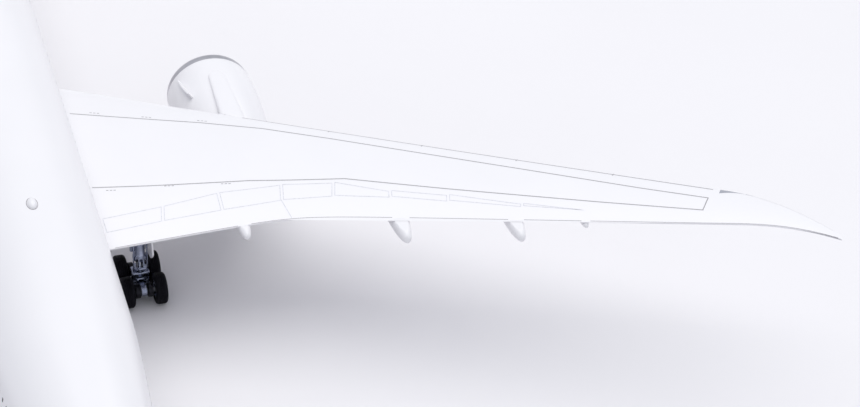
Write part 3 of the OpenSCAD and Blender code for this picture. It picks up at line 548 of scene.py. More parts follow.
class AIRLINER_OT_belly(Operator):
    """Shape the belly fairing under the wing"""
    bl_idname = "airliner.belly"
    bl_label = "Belly Fairing"

    def execute(self, context):
        s = PROPS["shape"]
        low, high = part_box("belly_fairing")
        aft_y, front_y = low.y / MM, high.y / MM
        drop = s.fus_z - s.fus_r - low.z / MM
        half_angle = math.radians(66)

        def place(u, v):
            y = front_y + (aft_y - front_y) * v
            swell = max(math.sin(math.pi * v), 0) ** 0.7
            a = math.pi + half_angle * (2 * u - 1)
            side = abs(2 * u - 1)
            stand = -0.3 + swell * (drop + 0.3 + 1.2 * math.sin(a) ** 2) * (1 - side ** 8)
            half_w, _, _ = cabin(y)
            r = half_w + stand
            return r * math.sin(a), y, s.fus_z + r * math.cos(a)
        bm = patch(64, 80, place)
        thicken(bm, -0.3)
        socket_y = frame["record"]["mounts"][0]["pos_m"][1] / MM
        collar = revolve([(2.0, 0.35), (2.0, -5), (3.1, -5), (3.1, 0.1), (2.85, 0.35), (2.0, 0.35)], 48, "Z",
                         (0, socket_y, low.z / MM + 0.35))
        bmesh.ops.scale(collar, verts=collar.verts, vec=(1, 1, -1),
                        space=Matrix.Translation((0, -socket_y * MM, -low.z - 0.00035)))
        bmesh.ops.recalc_face_normals(collar, faces=collar.faces)
        piece("belly_fairing_skin", joined([bm, collar]), FINISHES["paint"], nodes=("belly_fairing",))
        return {"FINISHED"}


class AIRLINER_OT_wings(Operator):
    """Loft both wings and their flap-track fairings"""
    bl_idname = "airliner.wings"
    bl_label = "Wings"

    # span position, overhang past the trailing edge, length, half width
    canoes = ((42.8, 2.8, 24, 1.65), (72.4, 5.8, 26, 2.0), (93.4, 4.8, 22, 1.8), (106, 0.9, 14, 1.0))

    def execute(self, context):
        for name, side in SIDES.items():
            bm = mirrored(wing_skin(), side)
            bmesh.ops.recalc_face_normals(bm, faces=bm.faces)
            piece(f"{name}_wing_skin", bm, FINISHES["paint"], nodes=(f"{name}_wing",))
            canoes = []
            for x, overhang, length, half_w in self.canoes:
                def place(u, v):
                    r = 1.04 * half_w * (4 * v * (1 - v)) ** 0.42
                    y = wing_te(x) - overhang + length * v
                    z = wing_mid(x) - 0.62 * half_w - 0.09 * length * v * v
                    a = 2 * math.pi * u
                    px = x + r * math.cos(a)
                    past = min(max((wing_te(px) + 0.5 - y) / 0.5, 0), 1)
                    ceiling = wing_z_at(px, y, -1) + 0.03 + (PROPS["shape"].edge_t - 0.01) * past
                    return px, y, min(z + 1.25 * r * math.sin(a), ceiling)
                canoe = patch(40, 60, place)
                bmesh.ops.recalc_face_normals(canoe, faces=canoe.faces)
                canoes.append(mirrored(canoe, side))
            piece(f"{name}_flap_fairing_skins", joined(canoes), FINISHES["paint"],
                  nodes=(f"{name}_flap_fairings",))
            fillet = self.fillet()
            bmesh.ops.recalc_face_normals(fillet, faces=fillet.faces)
            piece(f"{name}_wing_root_fillet", mirrored(fillet, side), FINISHES["paint"])
        return {"FINISHED"}

    def fillet(self):
        """Soft strip that rounds the corner between the cabin's side and the top of the wing."""
        s = PROPS["shape"]

        def place(u, v):
            grow = math.sin(math.pi * (0.06 + 0.9 * u)) ** 0.5
            y = wing_te(14) + 2.2 + (wing_le(14) - wing_te(14) - 4.4) * u
            z = wing_z_at(s.fus_r, y, 1)
            x = math.sqrt(s.fus_r ** 2 - (z - s.fus_z) ** 2)
            up, out = z + 1.9 * grow, x + 1.7 * grow
            foot = math.sqrt(s.fus_r ** 2 - (up - s.fus_z) ** 2)
            px = foot * (1 - v) ** 2 + 2 * x * v * (1 - v) + out * v * v
            pz = up * (1 - v) ** 2 + 2 * z * v * (1 - v) + wing_z_at(out, y, 1) * v * v
            return px, y, pz + 0.03
        bm = patch(80, 10, place)
        bmesh.ops.recalc_face_normals(bm, faces=bm.faces)
        return thicken(bm, -0.1)


class AIRLINER_OT_wing_printing(Operator):
    """Print the walkway, slat, spoiler and flap lines on both wings, and lay painted shade strips along the
    trailing edges and the raked tips' leading edges
    """
    bl_idname = "airliner.wing_printing"
    bl_label = "Wing Printing"

    def execute(self, context):
        w = PROPS["finish"].line_w
        dash_pitch, dash_len = 0.72, 0.45
        # the outlines' corners, as (span, length) positions
        walkway = [(15.5, 27.3), (29.5, 20.8), (41.1, 15.5), (52.8, 9.4), (65, 1.3), (98.3, -22),
                   (118.7, -36.4), (130.1, -44.1), (128, -47), (110.1, -37.4), (82.7, -22.4), (64.6, -12.2),
                   (46.4, -5.9), (27.1, -0.7), (15.5, 2.7)]
        spoiler_front = [(15.9, -6.6), (28.3, -7.2), (39.7, -7.2), (52.2, -9.3), (62.2, -12.5), (72.2, -18.9),
                         (82.7, -24.3), (95.7, -32.1), (106.7, -38.3)]
        spoiler_rear = [(16.0, -10.4), (27.6, -11), (39.5, -12), (51.4, -13.4), (61.3, -16), (71.9, -20.5),
                        (82.3, -25.8), (95.5, -32.7), (105.9, -37.8)]
        for name, side in SIDES.items():
            dark, lens = [ribbon(walkway, w, on_wing)], []
            slats = [(x, wing_le(x) - 0.8) for x in range(50, 133, 2)]
            dark.append(ribbon(slats, 0.26, on_wing))
            for x in (66, 82.5, 99, 115.5):
                y = wing_le(x)
                dark.append(ribbon([(x, y - 0.2), (x - 0.6, y - 1.0)], 0.22, on_wing, step=0.2))
            # Thin dark strips along the trailing edge between the flap-track fairings: painted shade where
            # the trailing edge turns away from the light.
            stops = [17] + [x + end * half_w for x, _, _, half_w in AIRLINER_OT_wings.canoes
                            for end in (-0.8, 0.8)] + [149.4]
            for start, stop in zip(stops[::2], stops[1::2]):
                n = max(int((stop - start) / 2), 1)
                xs = [start + (stop - start) * i / n for i in range(n + 1)]
                dark.append(ribbon([(x, wing_te(x) + 0.12) for x in xs], 0.12, on_wing))
            # Thin dark strip along the raked tip's leading edge: painted shade where the edge curves away
            # from the light.
            tip_xs = [139.5 + 9.8 * i / 12 for i in range(13)]
            dark.append(ribbon([(x, wing_le(x) - 0.12) for x in tip_xs], 0.12, on_wing))
            lens.append(self.lamp())
            for x, y, slope in ((19.9, 26.2, -0.47), (29.9, 21.4, -0.46), (40.6, 16.6, -0.5),
                                (18.4, 0.9, -0.3), (29.8, -1.7, -0.3), (40.8, -4.9, -0.3)):
                for k in range(3):
                    start = dash_pitch * k
                    ends = [(x + d, y + slope * d) for d in (start, start + dash_len)]
                    dark.append(ribbon(ends, 0.16, on_wing, step=0.2))
            fine = []
            for i in range(len(spoiler_front) - 1):
                corners = [Vector(c) for c in (spoiler_front[i], spoiler_front[i + 1], spoiler_rear[i + 1],
                                               spoiler_rear[i])]
                gap = Vector((0.3, 0))
                box = [corners[0] + gap, corners[1] - gap, corners[2] - gap, corners[3] + gap]
                fine.append(ribbon(box, 0.15, on_wing, closed=True))
            fine.append(ribbon([(51.2, -13.3), (52.1, wing_te(52.1) + 0.3)], 0.16, on_wing))
            for part, strips, finish in (("markings_and_edge_shade", dark, "line"), ("panel_lines", fine, "engraving"),
                                         ("lamp_lenses", lens, "lens")):
                bm = mirrored(joined(strips), side)
                thicken(bm, 0.015)
                piece(f"{name}_wing_{part}", bm, FINISHES[finish])
        return {"FINISHED"}

    def lamp(self):
        """Grey lamp cover that narrows outboard along the leading edge."""
        def place(u, v):
            x = 132.6 + 0.9 * (1 - v) + 6.2 * u
            depth = 2.1 * (1 - u) ** 1.6
            y = wing_le(x) - 0.02 - depth * v
            return x, y, on_wing(x, y) + 0.02
        bm = patch(24, 10, place)
        for f in bm.faces:
            f.normal_update()
            if f.normal.z < 0:
                f.normal_flip()
        return bm


class AIRLINER_OT_tail(Operator):
    """Loft the fin and the tailplanes"""
    bl_idname = "airliner.tail"
    bl_label = "Tail"

    def execute(self, context):
        s = PROPS["shape"]
        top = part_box("vertical_fin")[1].z / MM
        root_z = s.fus_z + s.fus_r
        sunk = 7
        fin_root_le, fin_tip_le, fin_root_te, fin_tip_te = -93, -136.5, -144, -154
        plane_root_le, plane_tip_le, plane_root_te, plane_tip_te = -109, -142.5, -140, -154
        plane_z, plane_slope = 33.4, 0.09

        def fin(u, v):
            z = root_z - sunk + (top - root_z + sunk) * v
            share = (z - root_z) / (top - root_z)
            rise = max(-share, 0)
            le = fin_root_le + (fin_tip_le - fin_root_le) * share + 22 * rise
            te = fin_root_te + (fin_tip_te - fin_root_te) * share
            round_tip = math.sqrt(max(1 - max((v - 0.965) / 0.035, 0) ** 2, 0.02))
            y, t = foil_ring(u, le, (le - te), 0.095, 0, s.edge_t)
            return t * round_tip, y, z
        bm = close_ends(patch(80, 90, fin))
        bmesh.ops.recalc_face_normals(bm, faces=bm.faces)
        piece("vertical_fin_skin", bm, FINISHES["paint"], nodes=("vertical_fin",))
        for name, side in SIDES.items():
            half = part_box(f"{name}_tailplane")[1 if side > 0 else 0].x / MM * side

            def plane(u, v):
                x = 2 + (half - 2) * v
                share = x / half
                le = plane_root_le + (plane_tip_le - plane_root_le) * share
                te = plane_root_te + (plane_tip_te - plane_root_te) * share
                round_tip = math.sqrt(max(1 - max((v - 0.96) / 0.04, 0) ** 2, 0.02))
                y, t = foil_ring(u, le, le - te, 0.09, 0, s.edge_t)
                return x, y, plane_z + plane_slope * x + t * round_tip
            bm = mirrored(close_ends(patch(64, 60, plane)), side)
            bmesh.ops.recalc_face_normals(bm, faces=bm.faces)
            piece(f"{name}_tailplane_skin", bm, FINISHES["paint"], nodes=(f"{name}_tailplane",))
        return {"FINISHED"}


class AIRLINER_OT_engines(Operator):
    """Turn the cowls, lips, fans and exhausts, and shape the pylons"""
    bl_idname = "airliner.engines"
    bl_label = "Engines"

    def execute(self, context):
        g = PROPS["gear"]
        lip_len, exit_r = 2.2, 8.2
        widest = 0.38 * g.cowl_len
        lip_r = g.cowl_r - 0.35
        crest_r = (lip_r + g.duct_r) / 2
        core_t, core_len = 14, 26
        quarter = [math.pi / 2 * i / 14 for i in range(15)]

        def cowl_out(t):
            if t < widest:
                return g.cowl_r - (g.cowl_r - lip_r) * ((widest - t) / (widest - lip_len)) ** 2
            return g.cowl_r - (g.cowl_r - exit_r) * ((t - widest) / (g.cowl_len - widest)) ** 2

        def core_out(t):
            return 5.4 - 1.8 * ((t - core_t) / core_len) ** 2
        for name, side in SIDES.items():
            centre = (side * g.engine_x, g.engine_y, g.engine_z)
            ts = [lip_len + (g.cowl_len - lip_len) * i / 40 for i in range(41)]
            outer = [(cowl_out(t), -t) for t in ts]
            inner = [(exit_r - 0.35, -g.cowl_len), (g.duct_r + 0.1, -g.cowl_len + 6), (g.duct_r, -8),
                     (g.duct_r, -lip_len)]
            cowl = revolve(outer + inner + outer[:1], 144, "Y", centre)
            strake = self.strake(g, side, centre)
            piece(f"{name}_fan_cowl_skin", joined([cowl, strake]), FINISHES["paint"],
                  nodes=(f"{name}_fan_cowl",))
            arc = [(crest_r + (lip_r - crest_r) * math.cos(a), -lip_len * (1 - math.sin(a))) for a in quarter]
            arc += [(crest_r - (crest_r - g.duct_r) * math.sin(a), -lip_len * (1 - math.cos(a)))
                    for a in quarter[1:]]
            piece(f"{name}_inlet_lip_ring", revolve(arc + arc[:1], 144, "Y", centre), FINISHES["lip"],
                  nodes=(f"{name}_inlet_lip",))
            core = [(core_out(t), -t) for t in [core_t + core_len * i / 20 for i in range(21)]]
            core = [(4.4, -13)] + core + [(3.3, -40), (3.8, -16), (3.8, -13), (4.4, -13)]
            piece(f"{name}_core_cowl_skin", revolve(core, 96, "Y", centre), FINISHES["core"],
                  nodes=(f"{name}_core_cowl",))
            plug = [(0, -16), (3.8, -16), (2.6, -28), (2.2, -33), (1.7, -38), (1.1, -41.5), (0.5, -44.2),
                    (0, -45)]
            piece(f"{name}_exhaust_plug_cone", revolve(plug, 72, "Y", centre), FINISHES["exhaust"],
                  nodes=(f"{name}_exhaust_plug",))
            self.fan(g, name, side, centre)
            self.pylon(g, name, side, cowl_out, core_out)
        return {"FINISHED"}

    def strake(self, g, side, centre):
        """Small plate that stands on the inboard shoulder of the cowl."""
        def place(u, v):
            angle = -side * math.radians(50 - 12 * u)
            t = 4.2 + 8.8 * u
            r = g.cowl_r - 0.5 * (1 - v) + 1.75 * u ** 0.8 * v
            return centre[0] + r * math.sin(angle), centre[1] - t, centre[2] + r * math.cos(angle)
        return thicken(patch(16, 3, place), 0.28)

    def fan(self, g, name, side, centre):
        low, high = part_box(f"{name}_fan")
        mid_y = (low.y + high.y) / 2 / MM
        tip = (high.z - low.z) / 2 / MM

        def blade(u, v):
            r = 2.1 + (tip - 2.1 - 0.05) * v
            lean = math.radians(28 + 32 * v)
            chord = 1.7 + 0.5 * math.sin(math.pi * v)
            along = (u - 0.5) * chord
            bow = 0.25 * (0.25 - (u - 0.5) ** 2) + 0.35 * v * v
            x = along * math.sin(lean) + bow * math.cos(lean)
            y = min(max(along * math.cos(lean) - bow * math.sin(lean), -0.88), 0.88)
            return x, y, r
        whole = thicken(patch(6, 12, blade), 0.12)
        bmesh.ops.recalc_face_normals(whole, faces=whole.faces)
        first = whole.verts[:] + whole.edges[:] + whole.faces[:]
        for i in range(1, g.fan_blades):
            copy = bmesh.ops.duplicate(whole, geom=first)["geom"]
            turned = [v for v in copy if isinstance(v, bmesh.types.BMVert)]
            bmesh.ops.rotate(whole, cent=(0, 0, 0), verts=turned,
                             matrix=Matrix.Rotation(2 * math.pi * i / g.fan_blades, 3, "Y"))
        hub = revolve([(0.85, -0.9), (2.25, -0.9), (2.3, -0.8), (2.3, 0.85), (0.85, 0.85), (0.85, -0.9)], 64)
        whole = mirrored(joined([whole, hub]), side)
        bmesh.ops.translate(whole, verts=whole.verts, vec=Vector((centre[0], mid_y, centre[2])) * MM)
        piece(f"{name}_fan_blades", whole, FINISHES["fan"], body=f"{name}_fan_rotor", nodes=(f"{name}_fan",))
        low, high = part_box(f"{name}_spinner")
        length = (high.y - low.y) / MM
        bows = [math.pi / 2 * i / 16 for i in range(1, 16)]
        cone = [(2.29 * math.cos(a) ** 0.8, length * math.sin(a)) for a in bows]
        cone = [(0, 0.02), (2.29, 0.02)] + cone + [(0, length)]
        piece(f"{name}_spinner_cone", revolve(cone, 64, "Y", (centre[0], low.y / MM, centre[2])),
              FINISHES["core"], body=f"{name}_fan_rotor", nodes=(f"{name}_spinner",))

    def pylon(self, g, name, side, cowl_out, core_out):
        """Wall from the cowl to the wing's underside, with a rounded top and front."""
        half_w, nose_len = 1.9, 2.2
        front_t, drop_t = 7.4, 34.8
        aft_t = g.engine_y - wing_te(g.engine_x) - 9

        def ends(x, t):
            le_t = g.engine_y - wing_le(x)
            under = wing_z_at(x, g.engine_y - t, -1)
            crest = g.engine_z + g.cowl_r + 0.4 + 0.5 * math.sqrt(max(t - front_t, 0) / (le_t - front_t))
            top = crest if t < le_t else min(under + 0.3, g.engine_z + g.cowl_r + 0.9)
            dx = x - g.engine_x
            if t <= g.cowl_len:
                low = g.engine_z + math.sqrt(cowl_out(t) ** 2 - dx * dx) - 0.35
            elif t < drop_t:
                low = g.engine_z + math.sqrt(core_out(t) ** 2 - dx * dx) - 0.2
            else:
                share = (t - drop_t) / (aft_t - drop_t)
                low = (g.engine_z + 3.5) * (1 - share) + (under - 0.1) * share
            return top, min(low, top)

        def place(u, v):
            t = front_t + (aft_t - front_t) * v
            a = 2 * math.pi * u
            taper = math.sqrt(1 - max(1 - (t - front_t) / nose_len, 0) ** 2)
            taper *= min((aft_t - t) / 8 + 0.05, 1) ** 0.6
            c, s = math.cos(a), math.sin(a)
            swell = 0.86 + 0.46 * min((t - front_t) / 18, 1)
            x = g.engine_x + half_w * swell * taper * math.copysign(abs(c) ** 0.7, c)
            top, low = ends(x, t)
            share = (1 + math.copysign(abs(s) ** 0.6, s)) / 2
            return x, g.engine_y - t, low + (top - low) * share
        bm = mirrored(close_ends(patch(40, 120, place)), side)
        bmesh.ops.recalc_face_normals(bm, faces=bm.faces)
        piece(f"{name}_pylon_skin", bm, FINISHES["paint"], nodes=(f"{name}_pylon",))


def wheel(tyre_r, tyre_w, side_x):
    """Tyre and hub of one wheel, centred on the axle, as two meshes with the wheel's middle at side_x."""
    rim = 0.56 * tyre_r
    shoulder = 0.28 * tyre_w
    half = tyre_w / 2
    arc = [math.pi / 2 * i / 8 for i in range(9)]
    edge = [(tyre_r - shoulder + shoulder * math.sin(a), -half + shoulder - shoulder * math.cos(a))
            for a in arc]
    tread = []
    for k in (-0.5, 0, 0.5):
        at = k * (half - shoulder) * 1.3
        tread += [(tyre_r, at - 0.09), (tyre_r - 0.1, at - 0.05), (tyre_r - 0.1, at + 0.05),
                  (tyre_r, at + 0.09)]
    back = [(r, -p) for r, p in reversed(edge)]
    start = [(rim, -0.42 * tyre_w), (rim + 0.12, -half + 0.1), (rim + 0.35, -half + 0.02)]
    profile = start + edge + tread + back + [(r, -p) for r, p in reversed(start)] + [start[0]]
    tyre = revolve(profile, 72, "X", (side_x, 0, 0))
    lip = rim - 0.16
    face = [(0.62, 0.34 * tyre_w), (0.9, 0.34 * tyre_w), (1.0, 0.27 * tyre_w), (lip - 0.25, 0.2 * tyre_w),
            (lip - 0.05, 0.3 * tyre_w), (lip, 0.41 * tyre_w), (rim, 0.42 * tyre_w)]
    hub_profile = face + [(r, -p) for r, p in reversed(face)] + [face[0]]
    parts = [revolve(hub_profile, 60, "X", (side_x, 0, 0))]
    for end in (-1, 1):
        for i in range(8):
            bolt = bmesh.new()
            bmesh.ops.create_cone(bolt, cap_ends=True, segments=6, radius1=0.1, radius2=0.09, depth=0.2,
                                  matrix=Matrix.Rotation(math.pi / 2, 4, "Y"))
            bmesh.ops.scale(bolt, verts=bolt.verts, vec=(MM, MM, MM))
            a = 2 * math.pi * (i + 0.5) / 8
            reach = 0.72 * lip
            bmesh.ops.translate(bolt, verts=bolt.verts, vec=Vector((
                side_x + end * 0.25 * tyre_w, reach * math.cos(a), reach * math.sin(a))) * MM)
            parts.append(bolt)
    return tyre, joined(parts)


class AIRLINER_OT_wheels(Operator):
    """Turn the tyres and hubs of all ten wheels"""
    bl_idname = "airliner.wheels"
    bl_label = "Wheels"

    def execute(self, context):
        g = PROPS["gear"]
        for name, side in SIDES.items():
            for end, sign in (("front", 1), ("rear", -1)):
                at = (side * g.strut_x, g.strut_y + sign * g.bogie_base / 2, g.main_tyre_r)
                self.pair(f"{name}_{end}", f"{name}_{end}_wheels", at, g.main_track, g.main_tyre_r,
                          g.main_tyre_w)
        self.pair("nose", "nose_wheels", (0, g.nose_gear_y, g.nose_tyre_r), g.nose_track, g.nose_tyre_r,
                  g.nose_tyre_w)
        return {"FINISHED"}

    def pair(self, name, body, at, track, tyre_r, tyre_w):
        tyres, hubs = [], []
        for side in (-1, 1):
            tyre, hub = wheel(tyre_r, tyre_w, side * track / 2)
            tyres.append(tyre)
            hubs.append(hub)
        for label, parts, finish, slot in (("tyres", tyres, "tyre", "tyre_rubber"),
                                           ("hubs", hubs, "gear", "hub_metal")):
            bm = joined(parts)
            bmesh.ops.translate(bm, verts=bm.verts, vec=Vector(at) * MM)
            piece(f"{name}_{label}_turned", bm, FINISHES[finish], body=body, nodes=(f"{name}_{label}",))


class AIRLINER_OT_main_gear(Operator):
    """Build the struts, braces, bogie beams and doors of the main gear"""
    bl_idname = "airliner.main_gear"
    bl_label = "Main Gear"

    def execute(self, context):
        g = PROPS["gear"]
        x, y, z = g.strut_x, g.strut_y, g.main_tyre_r
        braces, doors = [], []
        drum = [(0.66, 0.72), (1.35, 0.72), (1.5, 0.85), (1.5, 1.75), (1.35, 1.9), (0.66, 1.9), (0.66, 0.72)]
        for name, side in SIDES.items():
            top = wing_z_at(x, y, -1) + 0.3
            parts = [
                revolve([(0, z + 5.6), (1.35, z + 5.6), (1.45, z + 5.8), (1.45, z + 6.5), (1.2, z + 6.8),
                         (1.1, z + 7), (1.1, z + 9.6), (1.4, z + 9.8), (1.4, z + 10.6), (1.1, z + 10.8),
                         (1.1, top - 1.2), (1.35, top - 1), (1.35, top), (0, top)], 48, "Z", (x, y, 0)),
                block((3.7, 2.6, 1.2), (x, y, z + 2.2), 0.3, 3),
                rod((x, y, z + 1.6), (x, y, z + 3.4), 1.25)]
            for cheek in (-1, 1):
                parts.append(rod((x + cheek * 0.97, y, z), (x + cheek * 1.75, y, z), 1.1, 40))
                parts.append(block((0.78, 2.1, 2.4), (x + cheek * 1.36, y, z + 1.2), 0.12))
                parts.append(rod((x + cheek * 1.45, y - 0.7, z + 2.6), (x + cheek * 1.2, y - 0.9, top - 0.5),
                                 0.16, 10))
            parts.append(rod((x - 1.6, y + 0.2, z + 7.6), (x - 1.6, y + 0.2, z + 9.4), 0.4, 16))
            piece(f"{name}_main_strut_body", mirrored(joined(parts), side), FINISHES["gear"],
                  nodes=(f"{name}_main_strut",))
            piston = rod((x, y, z + 2.6), (x, y, z + 6), 0.8, 40)
            piece(f"{name}_main_piston", mirrored(piston, side), FINISHES["chrome"])
            braces.append(mirrored(self.links(x, y, z), side))
            doors.append(mirrored(self.door(x, y, z), side))
            beam = [block((1.3, g.bogie_base - 0.6, 1.5), (x, y, z), 0.35, 3)]
            drums = []
            for at in (-g.bogie_base / 2, 0, g.bogie_base / 2):
                half = 0.62 if at else 0.9
                beam.append(revolve([(0.66, -half), (1.1, -half), (1.18, -half + 0.12), (1.18, half - 0.12),
                                     (1.1, half), (0.66, half), (0.66, -half)], 40, "X", (x, y + at, z)))
                for out in (-1, 1) if at else ():
                    drums.append(revolve([(r, out * p) for r, p in drum], 40, "X", (x, y + at, z)))
            piece(f"{name}_brake_drums", mirrored(joined(drums), side), FINISHES["brake"],
                  body=f"{name}_bogie")
            piece(f"{name}_bogie_beam_body", mirrored(joined(beam), side), FINISHES["gear"],
                  body=f"{name}_bogie", nodes=(f"{name}_bogie_beam",))
        piece("main_gear_brace_set", joined(braces), FINISHES["gear"], nodes=("main_gear_braces",))
        piece("main_gear_door_panels", joined(doors), FINISHES["paint"], nodes=("main_gear_doors",))
        return {"FINISHED"}

    def links(self, x, y, z):
        """Side brace, drag brace and the two scissor links behind the piston."""
        fus_r = PROPS["shape"].fus_r
        side_head = (fus_r + 3.5, y + 1.5, wing_z_at(fus_r + 3.5, y + 1.5, -1) + 0.1)
        drag_head = (x - 0.4, y + 9, wing_z_at(x - 0.4, y + 9, -1) + 0.1)
        parts = [rod((x - 0.6, y, z + 8.6), side_head, 0.45, 20, (0.15, 0.5, 0.85)),
                 rod((x - 0.3, y + 0.6, z + 8.8), drag_head, 0.4, 20, (0.2, 0.6))]
        for low, high in (((y - 0.9, z + 3.2), (y - 2.6, z + 4.9)), ((y - 2.6, z + 4.9), (y - 1.0, z + 6.6))):
            mid = ((low[0] + high[0]) / 2, (low[1] + high[1]) / 2)
            lean = math.atan2(high[1] - low[1], high[0] - low[0])
            length = math.dist(low, high) + 0.4
            for side in (-1, 1):
                parts.append(block((0.3, length, 0.5), (x + side * 0.45, *mid), 0.1, 2,
                                   Matrix.Rotation(lean, 3, "X")))
        parts.append(rod((x - 0.75, y - 2.6, z + 4.9), (x + 0.75, y - 2.6, z + 4.9), 0.28, 16))
        return joined(parts)

    def door(self, x, y, z):
        """Curved leg door with rounded corners on two lugs."""
        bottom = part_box("main_gear_doors")[0].z / MM
        door_x = x + 2.1

        def place(u, v):
            py = y - 3.1 + 7.6 * u
            top = wing_z_at(door_x, py, -1)
            corner = 2.2 * max(abs(2 * u - 1) - 0.4, 0) ** 2 / 0.36
            pz = (bottom + 0.8 + corner) * (1 - v) + top * v
            return door_x - 0.3 + 1.2 * (0.5 - u) - 0.7 * v + 0.3 * (1 - (2 * u - 1) ** 2), py, pz
        panel = patch(24, 24, place)
        thicken(panel, 0.32)
        bmesh.ops.recalc_face_normals(panel, faces=panel.faces)
        parts = [panel]
        for height in (z + 8.5, z + 15):
            parts.append(rod((x + 0.8, y, height), (door_x + 0.2, y, height), 0.4, 16))
        return joined(parts)


class AIRLINER_OT_nose_gear(Operator):
    """Build the nose leg, its steering fork, brace and doors"""
    bl_idname = "airliner.nose_gear"
    bl_label = "Nose Gear"

    def execute(self, context):
        g = PROPS["gear"]
        y, z = g.nose_gear_y, g.nose_tyre_r
        bottom = z + 3.6
        _, _, belly = cabin(y)
        leg = revolve([(0.75, bottom), (1.45, bottom), (1.55, bottom + 0.15), (1.55, bottom + 0.75),
                       (1.15, bottom + 0.95), (1.15, bottom + 3), (1.35, bottom + 3.1), (1.35, bottom + 3.7),
                       (1.15, bottom + 3.8), (1.15, belly + 1), (0.75, belly + 1), (0.75, bottom)],
                      48, "Z", (0, y, 0))
        lamp = rod((0, y + 1.0, bottom + 2.2), (0, y + 1.75, bottom + 2.2), 0.5, 20)
        piece("nose_leg_body", joined([leg, lamp]), FINISHES["gear"], nodes=("nose_gear_leg",))
        half = (g.nose_track - g.nose_tyre_w - 0.6) / 2
        fork = joined([rod((0, y, z + 0.2), (0, y, bottom + 4), 0.7, 40),
                       revolve([(0, bottom - 1.1), (1.35, bottom - 1.1), (1.45, bottom - 1),
                                (1.45, bottom - 0.4), (1.35, bottom - 0.3), (0, bottom - 0.3)],
                               40, "Z", (0, y, 0)),
                       revolve([(0.56, -half), (0.9, -half), (1, -half + 0.1), (1, half - 0.1), (0.9, half),
                                (0.56, half), (0.56, -half)], 40, "X", (0, y, z)),
                       block((1.1, 0.3, 2.2), (0, y - 0.85, z + 1.7), 0.1)])
        piece("nose_fork_body", fork, FINISHES["gear"], body="nose_steering", nodes=("nose_fork",))
        brace = joined([rod((side * 0.6, y - 0.9, bottom + 2.4), (side * 2, y - 9, belly + 0.3), 0.4, 18,
                            (0.15, 0.85)) for side in (-1, 1)])
        piece("nose_brace_pair", brace, FINISHES["gear"], nodes=("nose_drag_brace",))
        low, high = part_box("nose_gear_doors")
        doors = []
        for side in (-1, 1):
            def place(u, v):
                py = low.y / MM + (high.y - low.y) / MM * u
                top = high.z / MM + 0.1
                corner = 0.9 * max(abs(2 * u - 1) - 0.6, 0) ** 2 / 0.16
                return 3.75 + 0.15 * v, py, (low.z / MM + corner) * (1 - v) + top * v
            panel = thicken(patch(20, 12, place), 0.3)
            bmesh.ops.recalc_face_normals(panel, faces=panel.faces)
            doors.append(mirrored(panel, side))
        piece("nose_door_panels", joined(doors), FINISHES["paint"], nodes=("nose_gear_doors",))
        return {"FINISHED"}


class AIRLINER_OT_cabin_printing(Operator):
    """Print the cabin windows, doors and cockpit glazing"""
    bl_idname = "airliner.cabin_printing"
    bl_label = "Cabin Printing"

    def execute(self, context):
        windows, outlines = [], []
        pitch, height, door_gap = 2.6, math.radians(80), 3.4
        first_y, last_y = 108.0, -84

        def frame_strip(y, angle, half_y, half_a, inner):
            """Rounded rectangle patch on the cabin side; inner is the share left open in its middle."""
            def place(u, v):
                a = 2 * math.pi * u
                k = inner + (1 - inner) * v
                c, s = math.cos(a), math.sin(a)
                dy = half_y * k * math.copysign(abs(c) ** 0.45, c)
                da = half_a * k * math.copysign(abs(s) ** 0.45, s)
                return cabin_point(y + dy, angle + da, 0.015)
            return patch(24, 1, place)
        door_ys = (118, 62, -30, -92)
        for side in (1, -1):
            y = first_y
            while y > last_y:
                if min(abs(y - d) for d in door_ys) > door_gap:
                    windows.append(frame_strip(y, side * height, 0.32, 0.034, 0.0))
                y -= pitch
            for d in door_ys:
                outlines.append(frame_strip(d, side * math.radians(86), 2.1, 0.3, 0.93))
        for side in (1, -1):
            for y, angle, half_y, half_a in ((149.2, 14, 1.25, 0.2), (147.6, 38, 1.5, 0.19),
                                             (144.6, 58, 1.5, 0.12)):
                windows.append(frame_strip(y, side * math.radians(angle), half_y, half_a, 0.0))
        for label, parts, finish in (("cabin_glazing", windows, "glazing"),
                                     ("cabin_door_outlines", outlines, "engraving")):
            bm = joined(parts)
            bmesh.ops.recalc_face_normals(bm, faces=bm.faces)
            axis_z = PROPS["shape"].fus_z * MM
            for f in bm.faces:
                centre = f.calc_center_median()
                if f.normal.dot(Vector((centre.x, 0, centre.z - axis_z))) < 0:
                    f.normal_flip()
            piece(label, bm, FINISHES[finish])
        return {"FINISHED"}


